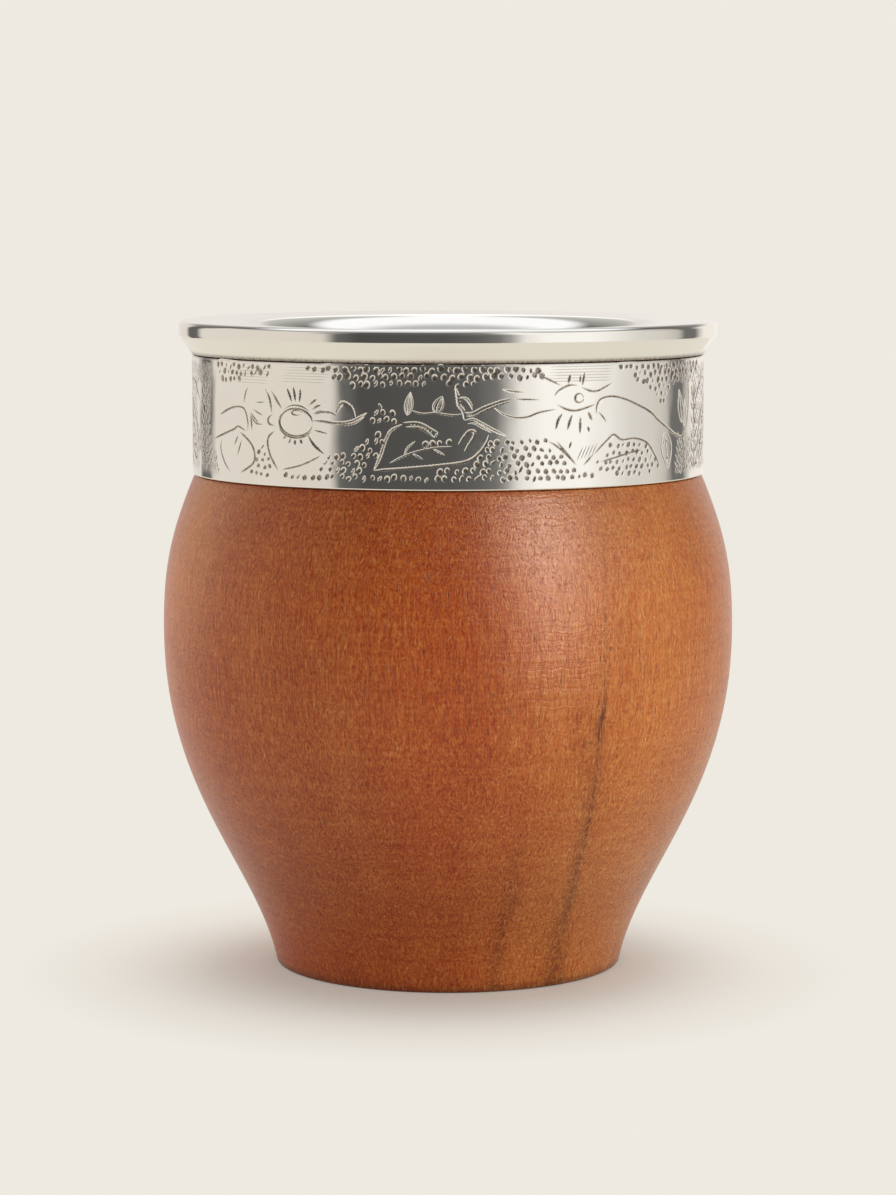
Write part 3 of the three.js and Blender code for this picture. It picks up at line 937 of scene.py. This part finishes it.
def add(tree, kind, sockets=None, stops=None, **settings):
    """Adds a node. Sockets maps an input to a value or to another node's output, and stops fills a colour
    ramp with (position, colour) pairs."""
    node = tree.nodes.new(kind)
    for key, value in settings.items():
        setattr(node, key, value)
    for key, value in (sockets or {}).items():
        if isinstance(value, bpy.types.NodeSocket):
            tree.links.new(value, node.inputs[key])
        else:
            node.inputs[key].default_value = value
    for k, (position, colour) in enumerate(stops or ()):
        ramp = node.color_ramp.elements
        element = ramp[k] if k < 2 else ramp.new(position)
        element.position = position
        element.color = colour
    return node


def new_material(name):
    """An empty node material, its tree and its output node."""
    material = bpy.data.materials.new(name)
    material.use_nodes = True
    material.node_tree.nodes.clear()
    return material, material.node_tree, material.node_tree.nodes.new("ShaderNodeOutputMaterial")


# %% [markdown]
# ## Oiled hardwood
#
# The wood is a reddish hardwood, turned, sanded and oiled. The block was cut well off the tree's centre, so
# its growth rings pass through the cup as upright curved sheets: red heartwood on the left, paler
# golden wood on the right, with dark rings where they meet. Distance from the tree's centre gives that
# colour. Fibre, vessels and pores run upright too. They show as lines and dashes on the steep flank and as
# dots where the shoulder cuts across them. All of it is a solid pattern in the block, so it needs no map and
# meets itself at every edge.

# %% Colour the growth rings
TREE_CENTRE = (-55.0, -60.0, 0.0)  # millimetres from the cup's axis
HEART_EDGE = 80.3  # distance from the tree's centre at which the dark ring lies
RING_NEAR = 40.0  # distances at the two ends of the colour ramp
RING_FAR = 120.0
DRIFT = 14.0  # the rings wander by up to half of this, either way
DRIFT_SCALE = (0.05, 0.05, 0.018)  # per millimetre: over some 20 mm across and 55 mm up
RING_COLOURS = (
    (42, "#A6541E"), (54, "#AB5118"), (62, "#AA521A"), (70, "#B36027"), (78, "#BA6C2F"), (92, "#BF712F"),
    (112, "#B56623"),
)

wood, tree, out = new_material("oiled_turned_hardwood")
place = add(tree, "ShaderNodeTexCoord").outputs["Object"]
mm = add(tree, "ShaderNodeVectorMath", {0: place, "Scale": 1 / MM}, operation="SCALE").outputs[0]
plan = add(tree, "ShaderNodeVectorMath", {0: mm, 1: (1, 1, 0)}, operation="MULTIPLY").outputs[0]
ring = add(tree, "ShaderNodeVectorMath", {0: plan, 1: TREE_CENTRE}, operation="DISTANCE").outputs["Value"]
height = add(tree, "ShaderNodeSeparateXYZ", {0: mm}).outputs["Z"]
drift_place = add(tree, "ShaderNodeMapping", {"Vector": mm, "Scale": DRIFT_SCALE}).outputs[0]
drift = add(tree, "ShaderNodeTexNoise", {"Vector": drift_place, "Scale": 1.0, "Detail": 2.0}).outputs["Fac"]
drifted = add(tree, "ShaderNodeMath", {0: drift, 1: DRIFT, 2: ring}, operation="MULTIPLY_ADD").outputs[0]
ring_share = add(
    tree, "ShaderNodeMapRange",
    {"Value": drifted, "From Min": RING_NEAR + DRIFT / 2, "From Max": RING_FAR + DRIFT / 2},
).outputs[0]
heart = add(
    tree, "ShaderNodeValToRGB", {"Fac": ring_share},
    stops=[((at - RING_NEAR) / (RING_FAR - RING_NEAR), linear(colour)) for at, colour in RING_COLOURS],
).outputs["Color"]
print("ring colours:", len(RING_COLOURS))

# %% Draw the grain
WANDER = 1.6  # millimetres over the noise's whole range, so fibre strays by about half a millimetre
WANDER_SCALE = (0.45, 0.45, 0.2)

wander_place = add(tree, "ShaderNodeMapping", {"Vector": mm, "Scale": WANDER_SCALE}).outputs[0]
wander = add(
    tree, "ShaderNodeTexNoise", {"Vector": wander_place, "Scale": 1.0, "Detail": 2.0},
).outputs["Color"]
wander = add(tree, "ShaderNodeVectorMath", {0: wander, 1: (0.5,) * 3}, operation="SUBTRACT").outputs[0]
wandered = add(
    tree, "ShaderNodeVectorMath", {0: wander, 1: (WANDER,) * 3, 2: mm}, operation="MULTIPLY_ADD",
).outputs[0]
# for each pattern: where it is read, its scale across the grain and up it per millimetre, its octaves of
# finer detail, and how strong those are
GRAIN = {
    # upright fibre, about 0.3 mm wide and several millimetres long
    "fibre": (wandered, 3.3, 0.19, 5.0, 0.7),
    # broad upright streaks, some 5 mm wide
    "streak": (mm, 0.2, 0.012, 3.0, 0.5),
    # flecks of cut fibre, about 0.2 mm wide and 0.6 mm long
    "fleck": (wandered, 4.4, 1.7, 3.0, 0.5),
    # vessel lines, where the noise is lowest: about 0.15 mm wide and several millimetres long
    "vessel": (wandered, 6.5, 0.15, 2.0, 0.5),
    # marks of sanding on the lathe, lines round the cup about 0.4 mm apart
    "lathe": (wandered, 0.05, 2.3, 3.0, 0.5),
}
grain = {}
for pattern, (read_at, across, along, octaves, strength) in GRAIN.items():
    spot = add(tree, "ShaderNodeMapping", {"Vector": read_at, "Scale": (across, across, along)}).outputs[0]
    noise = {"Vector": spot, "Scale": 1.0, "Detail": octaves, "Roughness": strength}
    grain[pattern] = add(tree, "ShaderNodeTexNoise", noise).outputs["Fac"]
print("grain patterns:", ", ".join(grain))

# %% Open the pores and vessels
PORE_SCALE = (2.1, 2.1, 0.28)  # per millimetre: cells 0.5 mm apart across the grain and 3.5 mm along it
PORE_RADII = (0.1, 0.24)  # shares of a cell at which a pore's wall starts and ends
PORE_LIMIT = 0.62  # cells whose random value is above this have a pore
VESSEL_RANGE = (0.33, 0.43)  # values of the noise between which a vessel line fades out
VESSEL_SHARE = 0.6  # how dark a vessel is next to a pore

pore_place = add(tree, "ShaderNodeMapping", {"Vector": wandered, "Scale": PORE_SCALE}).outputs[0]
pore_cell = add(tree, "ShaderNodeTexVoronoi", {"Vector": pore_place, "Scale": 1.0, "Randomness": 1.0})
pore_round, vessel = (
    add(
        tree, "ShaderNodeMapRange",
        {"Value": value, "From Min": start, "From Max": end, "To Min": 1.0, "To Max": 0.0},
        interpolation_type="SMOOTHSTEP",
    ).outputs[0]
    for value, (start, end) in ((pore_cell.outputs["Distance"], PORE_RADII), (grain["vessel"], VESSEL_RANGE))
)
pick = add(tree, "ShaderNodeSeparateColor", {"Color": pore_cell.outputs["Color"]}).outputs["Red"]
kept = add(tree, "ShaderNodeMath", {0: pick, 1: PORE_LIMIT}, operation="GREATER_THAN").outputs[0]
pore = add(tree, "ShaderNodeMath", {0: pore_round, 1: kept}, operation="MULTIPLY").outputs[0]
dark = add(tree, "ShaderNodeMath", {0: vessel, 1: VESSEL_SHARE}, operation="MULTIPLY").outputs[0]
dark = add(tree, "ShaderNodeMath", {0: dark, 1: pore}, operation="MAXIMUM").outputs[0]
print("share of cells with a pore:", round(1 - PORE_LIMIT, 2))

# %% Stain the dark rings
# stains and a drying crack along the rings: distance from the tree's centre, half width, share of brown, and
# the heights of the two ends
STAINS = (
    (HEART_EDGE, 3.0, 0.5, -30.0, 50.0),
    (HEART_EDGE + 0.5, 0.7, 0.42, 10.0, 84.0),
    (HEART_EDGE + 0.5, 0.5, 0.95, 38.5, 47.0),
    (70.5, 2.0, 0.4, -30.0, 30.0),
)
STAIN_COLOUR = "#501F0A"
STAIN_START = 4.0  # millimetres over which a stain sets in at its lower end
STAIN_FADE = 0.6  # share of its visible height over which it dies out at its upper end
FIBRE_MIDDLE = (0.35, 0.65)  # values of the fibre noise between which the stain's hold goes down
FIBRE_HOLD = (1.0, 0.35)

hold = add(
    tree, "ShaderNodeMapRange",
    {
        "Value": grain["fibre"], "From Min": FIBRE_MIDDLE[0], "From Max": FIBRE_MIDDLE[1],
        "To Min": FIBRE_HOLD[0], "To Max": FIBRE_HOLD[1],
    },
).outputs[0]
for ring_at, half_width, share, low_end, high_end in STAINS:
    off = add(tree, "ShaderNodeMath", {0: drifted, 1: ring_at + DRIFT / 2}, operation="SUBTRACT").outputs[0]
    off = add(tree, "ShaderNodeMath", {0: off}, operation="ABSOLUTE").outputs[0]
    stain = add(
        tree, "ShaderNodeMapRange",
        {"Value": off, "From Min": 0.0, "From Max": half_width, "To Min": share, "To Max": 0.0},
        interpolation_type="SMOOTHSTEP",
    ).outputs[0]
    sets_in = add(
        tree, "ShaderNodeMapRange",
        {"Value": height, "From Min": low_end, "From Max": low_end + STAIN_START},
    ).outputs[0]
    fade_start = high_end - STAIN_FADE * (high_end - max(low_end, 0))
    dies_out = add(
        tree, "ShaderNodeMapRange",
        {"Value": height, "From Min": fade_start, "From Max": high_end, "To Min": 1.0, "To Max": 0.0},
    ).outputs[0]
    for factor in (sets_in, dies_out, hold):
        stain = add(tree, "ShaderNodeMath", {0: stain, 1: factor}, operation="MULTIPLY").outputs[0]
    # the colour mix keeps its colours in sockets 6 and 7 and its result in output 2
    heart = add(
        tree, "ShaderNodeMix", {0: stain, 6: heart, 7: linear(STAIN_COLOUR)}, data_type="RGBA",
    ).outputs[2]
print("stains:", len(STAINS))

# %% Tone the wood
# painted shade, darker by height: a painted contact shadow along the foot's edge, shade on the lower flank,
# and darker towards the shoulder too: shares of the cup's height, and how much of the colour is left there
PAINTED_SHADE = ((0.0, 0.35), (0.014, 0.86), (0.03, 0.92), (0.14, 0.82), (0.4, 1.0), (0.6, 1.0), (0.75, 0.84))
PAINTED_SHADE_HEIGHT = 100.0
# each pattern raises the ring colour to a power: above 1 it turns deep and red, below 1 pale and tan
POWERS = {"fibre": (1.26, 0.78), "streak": (1.05, 0.96), "fleck": (1.18, 0.84), "lathe": (1.07, 0.95)}
NOISE_MIDDLE = (0.34, 0.66)  # values between which most of a noise lies
DARK_SHARE = 0.7
DARK_COLOUR = "#52220D"

height_share = add(tree, "ShaderNodeMapRange", {"Value": height, "From Max": PAINTED_SHADE_HEIGHT}).outputs[0]
# painted shade by height, darkest along the foot's edge and on the lower flank
painted_shade = add(
    tree, "ShaderNodeValToRGB", {"Fac": height_share}, stops=[(at, (*(left,) * 3, 1)) for at, left in PAINTED_SHADE],
).outputs["Color"]
heart = add(tree, "ShaderNodeVectorMath", {0: heart, 1: painted_shade}, operation="MULTIPLY").outputs[0]
power = 1.0
for pattern, (low, high) in POWERS.items():
    exponent = add(
        tree, "ShaderNodeMapRange",
        {
            "Value": grain[pattern], "From Min": NOISE_MIDDLE[0], "From Max": NOISE_MIDDLE[1],
            "To Min": low, "To Max": high,
        },
    ).outputs[0]
    power = add(tree, "ShaderNodeMath", {0: power, 1: exponent}, operation="MULTIPLY").outputs[0]
tone = add(tree, "ShaderNodeGamma", {"Color": heart, "Gamma": power}).outputs[0]
dark_share = add(tree, "ShaderNodeMath", {0: dark, 1: DARK_SHARE}, operation="MULTIPLY").outputs[0]
tone = add(
    tree, "ShaderNodeMix", {0: dark_share, 6: tone, 7: linear(DARK_COLOUR)}, data_type="RGBA",
).outputs[2]
print("patterns in the tone:", ", ".join(POWERS))

# %% Finish the oiled hardwood
# open pores and vessels go down, and fibre, lathe marks and flecks stand up a little
WOOD_RELIEF = 0.055  # millimetres
RELIEF = ((dark, -0.5), (grain["fibre"], 0.5), (grain["lathe"], 1.5), (grain["fleck"], 0.5))
WOOD_ROUGH = (0.27, 0.34)  # a satin coat of oil, duller where the fibre is cut
ROUGH_MIDDLE = (0.3, 0.7)  # values between which nearly all of a noise lies
OIL_IOR = 1.38

relief = 1.0
for pattern, weight in RELIEF:
    relief = add(
        tree, "ShaderNodeMath", {0: pattern, 1: weight, 2: relief}, operation="MULTIPLY_ADD",
    ).outputs[0]
wood_bump = add(
    tree, "ShaderNodeBump", {"Height": relief, "Strength": 1.0, "Distance": WOOD_RELIEF * MM},
).outputs[0]
wood_rough = add(
    tree, "ShaderNodeMapRange",
    {
        "Value": grain["fleck"], "From Min": ROUGH_MIDDLE[0], "From Max": ROUGH_MIDDLE[1],
        "To Min": WOOD_ROUGH[0], "To Max": WOOD_ROUGH[1],
    },
).outputs[0]
wood_shader = add(
    tree, "ShaderNodeBsdfPrincipled",
    {"Base Color": tone, "Roughness": wood_rough, "IOR": OIL_IOR, "Normal": wood_bump},
)
tree.links.new(wood_shader.outputs[0], out.inputs["Surface"])
print("wood pattern nodes:", len(tree.nodes))

# %% [markdown]
# ## Polished nickel silver
#
# Nickel silver is an alloy of copper, nickel and zinc with a warm silver colour. Buffing leaves it nearly a
# mirror, with fine lines round the cup and a slight haze. The cuts and the joint under the lip can't be
# buffed. They keep a brown, dull tarnish, so a cut looks dark where the metal reflects a light and pale where
# it reflects something dark. The attribute that was stored with the cuts tells the shader where. The band is
# worked by hand, so soft dents bend what it mirrors, while the lip is spun and smooth.

# %% Tarnish and polish the nickel silver
SILVER_CLEAR = "#EAE5DB"
SILVER_HAZED = "#EFEBE2"
TARNISH_COLOUR = "#6A5644"
HAZE_SCALE = 0.16  # per millimetre: patches of about 6 mm
GRAIN_SCALE = 2.4  # grains of tarnish, about 0.4 mm
GRAIN_GAIN = (0.6, 1.0)  # how much of the tarnish is left between the grains and on them
CUT_BOTTOM = (0.26, 0.7)  # tarnish at which a cut starts to look dull, and at which it is fully dull
DULL_METAL = -0.25  # what full tarnish takes from the metallic look
BUFFED_ROUGH = (0.05, 0.08)
MATT_SHEET = (0.06, 0.26)  # tarnish at which the sheet starts to be matt, and at which it is fully matt
MATT_ROUGH = 0.15  # what that adds to the roughness

metal, tree, out = new_material("polished_nickel_silver")
place = add(tree, "ShaderNodeTexCoord").outputs["Object"]
mm = add(tree, "ShaderNodeVectorMath", {0: place, "Scale": 1 / MM}, operation="SCALE").outputs[0]
cut = add(tree, "ShaderNodeAttribute", attribute_name="tarnish").outputs["Fac"]
haze = add(tree, "ShaderNodeTexNoise", {"Vector": mm, "Scale": HAZE_SCALE, "Detail": 3.0}).outputs["Fac"]
grains = add(tree, "ShaderNodeTexNoise", {"Vector": mm, "Scale": GRAIN_SCALE, "Detail": 2.0}).outputs["Fac"]
grain_gain, buffed = (
    add(
        tree, "ShaderNodeMapRange",
        {
            "Value": value, "From Min": ROUGH_MIDDLE[0], "From Max": ROUGH_MIDDLE[1],
            "To Min": low, "To Max": high,
        },
    ).outputs[0]
    for value, (low, high) in ((grains, GRAIN_GAIN), (haze, BUFFED_ROUGH))
)
bottom = add(
    tree, "ShaderNodeMapRange", {"Value": cut, "From Min": CUT_BOTTOM[0], "From Max": CUT_BOTTOM[1]},
    interpolation_type="SMOOTHSTEP",
).outputs[0]
dull = add(tree, "ShaderNodeMath", {0: bottom, 1: grain_gain}, operation="MULTIPLY").outputs[0]
silver = add(
    tree, "ShaderNodeMix", {0: haze, 6: linear(SILVER_CLEAR), 7: linear(SILVER_HAZED)}, data_type="RGBA",
).outputs[2]
metal_tone = add(
    tree, "ShaderNodeMix", {0: dull, 6: silver, 7: linear(TARNISH_COLOUR)}, data_type="RGBA",
).outputs[2]
metallic = add(tree, "ShaderNodeMath", {0: dull, 1: DULL_METAL, 2: 1.0}, operation="MULTIPLY_ADD").outputs[0]
matt = add(
    tree, "ShaderNodeMapRange", {"Value": cut, "From Min": MATT_SHEET[0], "From Max": MATT_SHEET[1]},
).outputs[0]
metal_rough = add(
    tree, "ShaderNodeMath", {0: matt, 1: MATT_ROUGH, 2: buffed}, operation="MULTIPLY_ADD",
).outputs[0]
print("tarnish and polish nodes:", len(tree.nodes))

# %% Finish the nickel silver
DENT_DEPTH = 0.13  # millimetres
DENT_SCALE = (0.18, 0.18, 0.1)  # per millimetre: dents some 6 mm across and 10 mm high
DENT_TOP = band_high[2] + 0.1  # in the band's rounded upper edge, so the lip above it stays smooth
BUFF_RELIEF = 0.004  # millimetres
BUFF_SCALE = (0.12, 0.12, 3.2)  # per millimetre: buffing lines 0.3 mm apart in height and some 8 mm long

dent_place = add(tree, "ShaderNodeMapping", {"Vector": mm, "Scale": DENT_SCALE}).outputs[0]
dent = add(tree, "ShaderNodeTexNoise", {"Vector": dent_place, "Scale": 1.0, "Detail": 1.0}).outputs["Fac"]
buff_place = add(tree, "ShaderNodeMapping", {"Vector": mm, "Scale": BUFF_SCALE}).outputs[0]
buff = add(tree, "ShaderNodeTexNoise", {"Vector": buff_place, "Scale": 1.0, "Detail": 3.0}).outputs["Fac"]
height = add(tree, "ShaderNodeSeparateXYZ", {0: mm}).outputs["Z"]
on_band = add(tree, "ShaderNodeMath", {0: height, 1: DENT_TOP}, operation="LESS_THAN").outputs[0]
dent_bump = add(
    tree, "ShaderNodeBump", {"Height": dent, "Strength": on_band, "Distance": DENT_DEPTH * MM},
).outputs[0]
buff_bump = add(
    tree, "ShaderNodeBump",
    {"Height": buff, "Strength": 1.0, "Distance": BUFF_RELIEF * MM, "Normal": dent_bump},
).outputs[0]
metal_shader = add(
    tree, "ShaderNodeBsdfPrincipled",
    {"Base Color": metal_tone, "Metallic": metallic, "Roughness": metal_rough, "Normal": buff_bump},
)
tree.links.new(metal_shader.outputs[0], out.inputs["Surface"])
print("metal pattern nodes:", len(tree.nodes))

# %% [markdown]
# ## Hand the pieces to the frame
#
# Each piece takes the place of its imported solid, gets its own material, and rides on the one body that this
# cup has.

# %% Dress the frame
dressed = [
    (wooden_body, "wooden_body", "oiled_wood", wood),
    (engraved_band, "engraved_band", "nickel_silver", metal),
    (rolled_lip, "rolled_lip", "nickel_silver", metal),
    (mouth_sleeve, "mouth_sleeve", "nickel_silver", metal),
]
for piece, node, slot, material in dressed:
    piece.data.materials.append(material)
    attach(piece, "root")
    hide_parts(node)
    print(piece.name, "stands for", node, "in", material.name)

# %% [markdown]
# ## Floor
#
# The cup stands on a pale seamless sweep. Near the cup the floor is a plain matt surface that takes a
# shadow. Further out it turns into an even glow of the background's own colour, so that no edge and no
# horizon show.

# %% Lay the floor
BACKGROUND = "#EEEAE1"
PAPER = "#F2EEE6"
FLOOR_RADIUS = 450.0
FLOOR_DROP = 0.02  # just below the foot, so that the two faces never fight
DOME_TURNS = 64
SHADOW_CENTRE = (-0.002, -0.006, 0.0)  # metres from the axis, towards the front
SHADOW_INNER = 0.026  # metres from that centre at which the matt floor starts to fade
SHADOW_OUTER = 0.066
GLOW_SHARE = 0.27  # of the glow in the matt floor at the foot, which keeps the shadow light

floor_outline = line((FLOOR_RADIUS, -FLOOR_DROP), (0, -FLOOR_DROP), steps=12)
floor = turned("pale_floor", floor_outline, DOME_TURNS, closed=False)
merge_doubles(floor)
sweep, tree, out = new_material("matt_seamless_paper")
place = add(tree, "ShaderNodeTexCoord").outputs["Object"]
away = add(tree, "ShaderNodeVectorMath", {0: place, 1: SHADOW_CENTRE}, operation="DISTANCE").outputs["Value"]
fade = add(
    tree, "ShaderNodeMapRange",
    {"Value": away, "From Min": SHADOW_INNER, "From Max": SHADOW_OUTER, "To Min": GLOW_SHARE},
).outputs[0]
paper = add(tree, "ShaderNodeBsdfDiffuse", {"Color": linear(PAPER)}).outputs[0]
glow = add(tree, "ShaderNodeEmission", {"Color": linear(BACKGROUND), "Strength": 1.0}).outputs[0]
floor_mix = add(tree, "ShaderNodeMixShader", {0: fade, 1: paper, 2: glow})
tree.links.new(floor_mix.outputs[0], out.inputs["Surface"])
floor.data.materials.append(sweep)

# %% [markdown]
# ## The light tent
#
# Polished metal shows the room more than itself. A photographer therefore puts white panels round it and
# dark cloth between them: the long dark patch on the front of the band is the gap where the camera looks in.
# A dome that only mirror rays can see plays that room. Its colour depends on the direction round the cup and
# turns bright overhead.

# %% Plan the tent's panels
# degrees round from the camera, and how much red and blue a panel has. Green is halfway between.
lower_wall = [
    (-180, 0.84, 0.78), (-146, 0.82, 0.74), (-142, 0.14, 0.14), (-132, 0.14, 0.14), (-127, 0.84, 0.76),
    (-80, 0.84, 0.75), (-53, 0.8, 0.72), (-47, 0.16, 0.16), (-37, 0.085, 0.085), (0, 0.1, 0.1),
    (12, 0.13, 0.13), (21, 0.2, 0.2), (26, 0.4, 0.4), (32, 0.95, 0.95), (41, 1.1, 1.12), (62, 1.1, 1.12),
    (74, 0.96, 0.96), (88, 0.8, 0.78), (103, 0.74, 0.7), (113, 0.6, 0.56), (118, 0.18, 0.18),
    (128, 0.18, 0.18), (133, 0.7, 0.64), (138, 1.0, 0.91), (164, 0.98, 0.9), (180, 0.84, 0.78),
]
upper_wall = [
    (-180, 1.3, 1.35), (-178, 1.1, 1.15), (-176, 0.62, 0.62), (-170, 0.52, 0.52), (-160, 0.38, 0.38),
    (-140, 0.18, 0.18), (-130, 0.16, 0.16), (-122, 0.84, 0.77), (-64, 0.8, 0.74), (-52, 0.3, 0.3),
    (-42, 0.1, 0.1), (0, 0.13, 0.13), (18, 0.24, 0.24), (26, 0.6, 0.6), (33, 1.1, 1.1), (72, 1.1, 1.1),
    (100, 0.72, 0.7), (116, 0.5, 0.48), (122, 0.16, 0.16), (132, 0.16, 0.16), (160, 0.38, 0.38),
    (170, 0.52, 0.52), (176, 0.62, 0.62), (178, 1.1, 1.15), (180, 1.3, 1.35),
]
print("panels in the lower and the upper wall:", len(lower_wall), len(upper_wall))

# %% Raise the light tent
TENT_RADIUS = 1500.0
TENT_LOWEST = -14  # degrees
TENT_ROWS = 40
WALL_SPLIT = (0.42, 0.66)  # heights in metres between which the lower wall gives way to the upper one

steps = np.radians(np.linspace(TENT_LOWEST, 90, TENT_ROWS))
tent_outline = TENT_RADIUS * np.stack([np.cos(steps), np.sin(steps)], axis=1)
tent = turned("light_tent", tent_outline, DOME_TURNS, closed=False)
merge_doubles(tent)
cloth, tree, out = new_material("lit_tent_cloth")
place = add(tree, "ShaderNodeTexCoord").outputs["Object"]
parts = add(tree, "ShaderNodeSeparateXYZ", {0: place}).outputs
towards = add(tree, "ShaderNodeMath", {0: parts["Y"], 1: -1.0}, operation="MULTIPLY").outputs[0]
angle = add(tree, "ShaderNodeMath", {0: parts["X"], 1: towards}, operation="ARCTAN2").outputs[0]
turn_share = add(
    tree, "ShaderNodeMapRange", {"Value": angle, "From Min": -math.pi, "From Max": math.pi},
).outputs[0]
low_panels, high_panels = (
    add(
        tree, "ShaderNodeValToRGB", {"Fac": turn_share},
        stops=[((turn + 180) / 360, (red, (red + blue) / 2, blue, 1)) for turn, red, blue in wall],
    ).outputs["Color"]
    for wall in (lower_wall, upper_wall)
)
split = add(
    tree, "ShaderNodeMapRange", {"Value": parts["Z"], "From Min": WALL_SPLIT[0], "From Max": WALL_SPLIT[1]},
    interpolation_type="SMOOTHSTEP",
).outputs[0]
walls = add(tree, "ShaderNodeMix", {0: split, 6: low_panels, 7: high_panels}, data_type="RGBA").outputs[2]

# %% Roof the tent
ROOF_AXIS = (0.0, 0.15, 0.989)  # the roof leans back a little
# cosines of the angle to that axis between which the gap under the roof sets in, and the roof itself
GAP_RANGE = (0.64, 0.7)
ROOF_RANGE = (0.77, 0.86)
ROOF_SPLIT = (-0.2, 0.35)  # metres behind the axis between which the front of the roof gives way to its back
ROOF_FRONT = (0.58, 0.6, 0.64, 1)
ROOF_BACK = (1.16, 1.2, 1.3, 1)
GAP_COLOUR = (0.1, 0.1, 0.1, 1)
GAP_SIDES = (0.5, 0.8)  # metres to either side between which the gap sets in, as it shows at the sides only
GAP_SHARE = 0.6

lean = add(tree, "ShaderNodeVectorMath", {0: place, 1: ROOF_AXIS}, operation="DOT_PRODUCT").outputs["Value"]
tent_metres = TENT_RADIUS * MM
gap, roof_share, roof_back = (
    add(
        tree, "ShaderNodeMapRange", {"Value": value, "From Min": start, "From Max": end},
        interpolation_type="SMOOTHSTEP",
    ).outputs[0]
    for value, start, end in (
        (lean, GAP_RANGE[0] * tent_metres, GAP_RANGE[1] * tent_metres),
        (lean, ROOF_RANGE[0] * tent_metres, ROOF_RANGE[1] * tent_metres),
        (parts["Y"], *ROOF_SPLIT),
    )
)
sideways = add(tree, "ShaderNodeMath", {0: parts["X"]}, operation="ABSOLUTE").outputs[0]
at_side = add(
    tree, "ShaderNodeMapRange",
    {"Value": sideways, "From Min": GAP_SIDES[0], "From Max": GAP_SIDES[1], "To Max": GAP_SHARE},
).outputs[0]
gap = add(tree, "ShaderNodeMath", {0: gap, 1: at_side}, operation="MULTIPLY").outputs[0]
walls = add(tree, "ShaderNodeMix", {0: gap, 6: walls, 7: GAP_COLOUR}, data_type="RGBA").outputs[2]
roof = add(tree, "ShaderNodeMix", {0: roof_back, 6: ROOF_FRONT, 7: ROOF_BACK}, data_type="RGBA").outputs[2]
tent_tone = add(tree, "ShaderNodeMix", {0: roof_share, 6: walls, 7: roof}, data_type="RGBA").outputs[2]
tent_glow = add(tree, "ShaderNodeEmission", {"Color": tent_tone, "Strength": 1.0})
tree.links.new(tent_glow.outputs[0], out.inputs["Surface"])
tent.data.materials.append(cloth)
for ray in ("camera", "diffuse", "transmission", "volume_scatter", "shadow"):
    setattr(tent, "visible_" + ray, False)

# %% [markdown]
# ## Lamps and world
#
# A small key lamp on the right gives the wood its highlight, and a tall window lamp beside it adds to the
# wood's gloss alone. Two wide lamps fill in from the sides, and the metal doesn't mirror them. A warm lamp
# behind on the left draws a pale rim along the wood. The floor has a lamp of its own, high behind the cup
# and screened from it, for the short shadow round the foot. The world fills in from everywhere for matt
# surfaces, and shows the plain background colour to the camera and to mirror rays.

# %% Light the cup and the floor
WHITE = "#FFFFFF"
WINDOW_LIGHT = "#FFF5E6"
RIM_LIGHT = "#FFDFAE"
AIM = (0, 0, 0.05)  # metres, the middle of the cup


def area_lamp(name, way, distance, size, power, lit, matt=True, mirror=False, colour=WHITE):
    """A flat lamp that looks at the cup. Its way is an azimuth and an elevation in degrees, with azimuth 0
    towards the camera, and its size a width and a height in metres. It lights only the given pieces, as
    flags and screens arrange it in a studio."""
    a, e = np.radians(way)
    lamp = bpy.data.objects.new(name, bpy.data.lights.new(name, "AREA"))
    lamp.data.shape = "RECTANGLE"
    lamp.data.size, lamp.data.size_y = size
    lamp.data.energy = power
    lamp.data.color = linear(colour)[:3]
    lamp.visible_diffuse = matt
    lamp.visible_glossy = mirror
    outwards = np.array([math.cos(e) * math.sin(a), -math.cos(e) * math.cos(a), math.sin(e)])
    lamp.location = AIM + distance * outwards
    lamp.rotation_euler = (math.pi / 2 - e, 0, a)
    bpy.context.scene.collection.objects.link(lamp)
    lamp.light_linking.receiver_collection = bpy.data.collections.new("lit_by_" + name)
    for piece in lit:
        lamp.light_linking.receiver_collection.objects.link(piece)
    print(name, "at", np.round(np.array(lamp.location), 2))


body = [wooden_body]
cup = [wooden_body, engraved_band, rolled_lip, mouth_sleeve]
area_lamp("key_lamp", (43, 30), 1.1, (0.34, 0.34), 4.1, body, mirror=True, colour=WINDOW_LIGHT)
area_lamp("window_lamp", (42, 16), 1.1, (0.3, 1.0), 13.0, body, matt=False, mirror=True, colour=WINDOW_LIGHT)
area_lamp("side_lamp", (70, 25), 1.3, (1.1, 1.1), 2.8, cup)
area_lamp("fill_lamp", (-105, 4), 1.2, (0.9, 0.9), 5.0, cup)
area_lamp("rim_lamp", (-128, 12), 1.2, (0.8, 0.9), 3.0, body, mirror=True, colour=RIM_LIGHT)
area_lamp("overhead_lamp", (162, 79), 1.2, (0.7, 0.7), 7.0, [floor])

# %% Light the room
ROOM_LIGHT = "#FFFAF2"
ROOM_STRENGTH = 0.5

world = bpy.data.worlds.new("studio")
bpy.context.scene.world = world
world.use_nodes = True
tree = world.node_tree
tree.nodes.clear()
rays = add(tree, "ShaderNodeLightPath").outputs
seen = rays["Is Camera Ray"]
for ray in ("Is Glossy Ray", "Is Transmission Ray"):
    seen = add(tree, "ShaderNodeMath", {0: seen, 1: rays[ray]}, operation="MAXIMUM").outputs[0]
fill = add(tree, "ShaderNodeBackground", {"Color": linear(ROOM_LIGHT), "Strength": ROOM_STRENGTH}).outputs[0]
plain = add(tree, "ShaderNodeBackground", {"Color": linear(BACKGROUND), "Strength": 1.0}).outputs[0]
world_mix = add(tree, "ShaderNodeMixShader", {0: seen, 1: fill, 2: plain}).outputs[0]
add(tree, "ShaderNodeOutputWorld", {"Surface": world_mix})
print("world nodes:", len(tree.nodes))
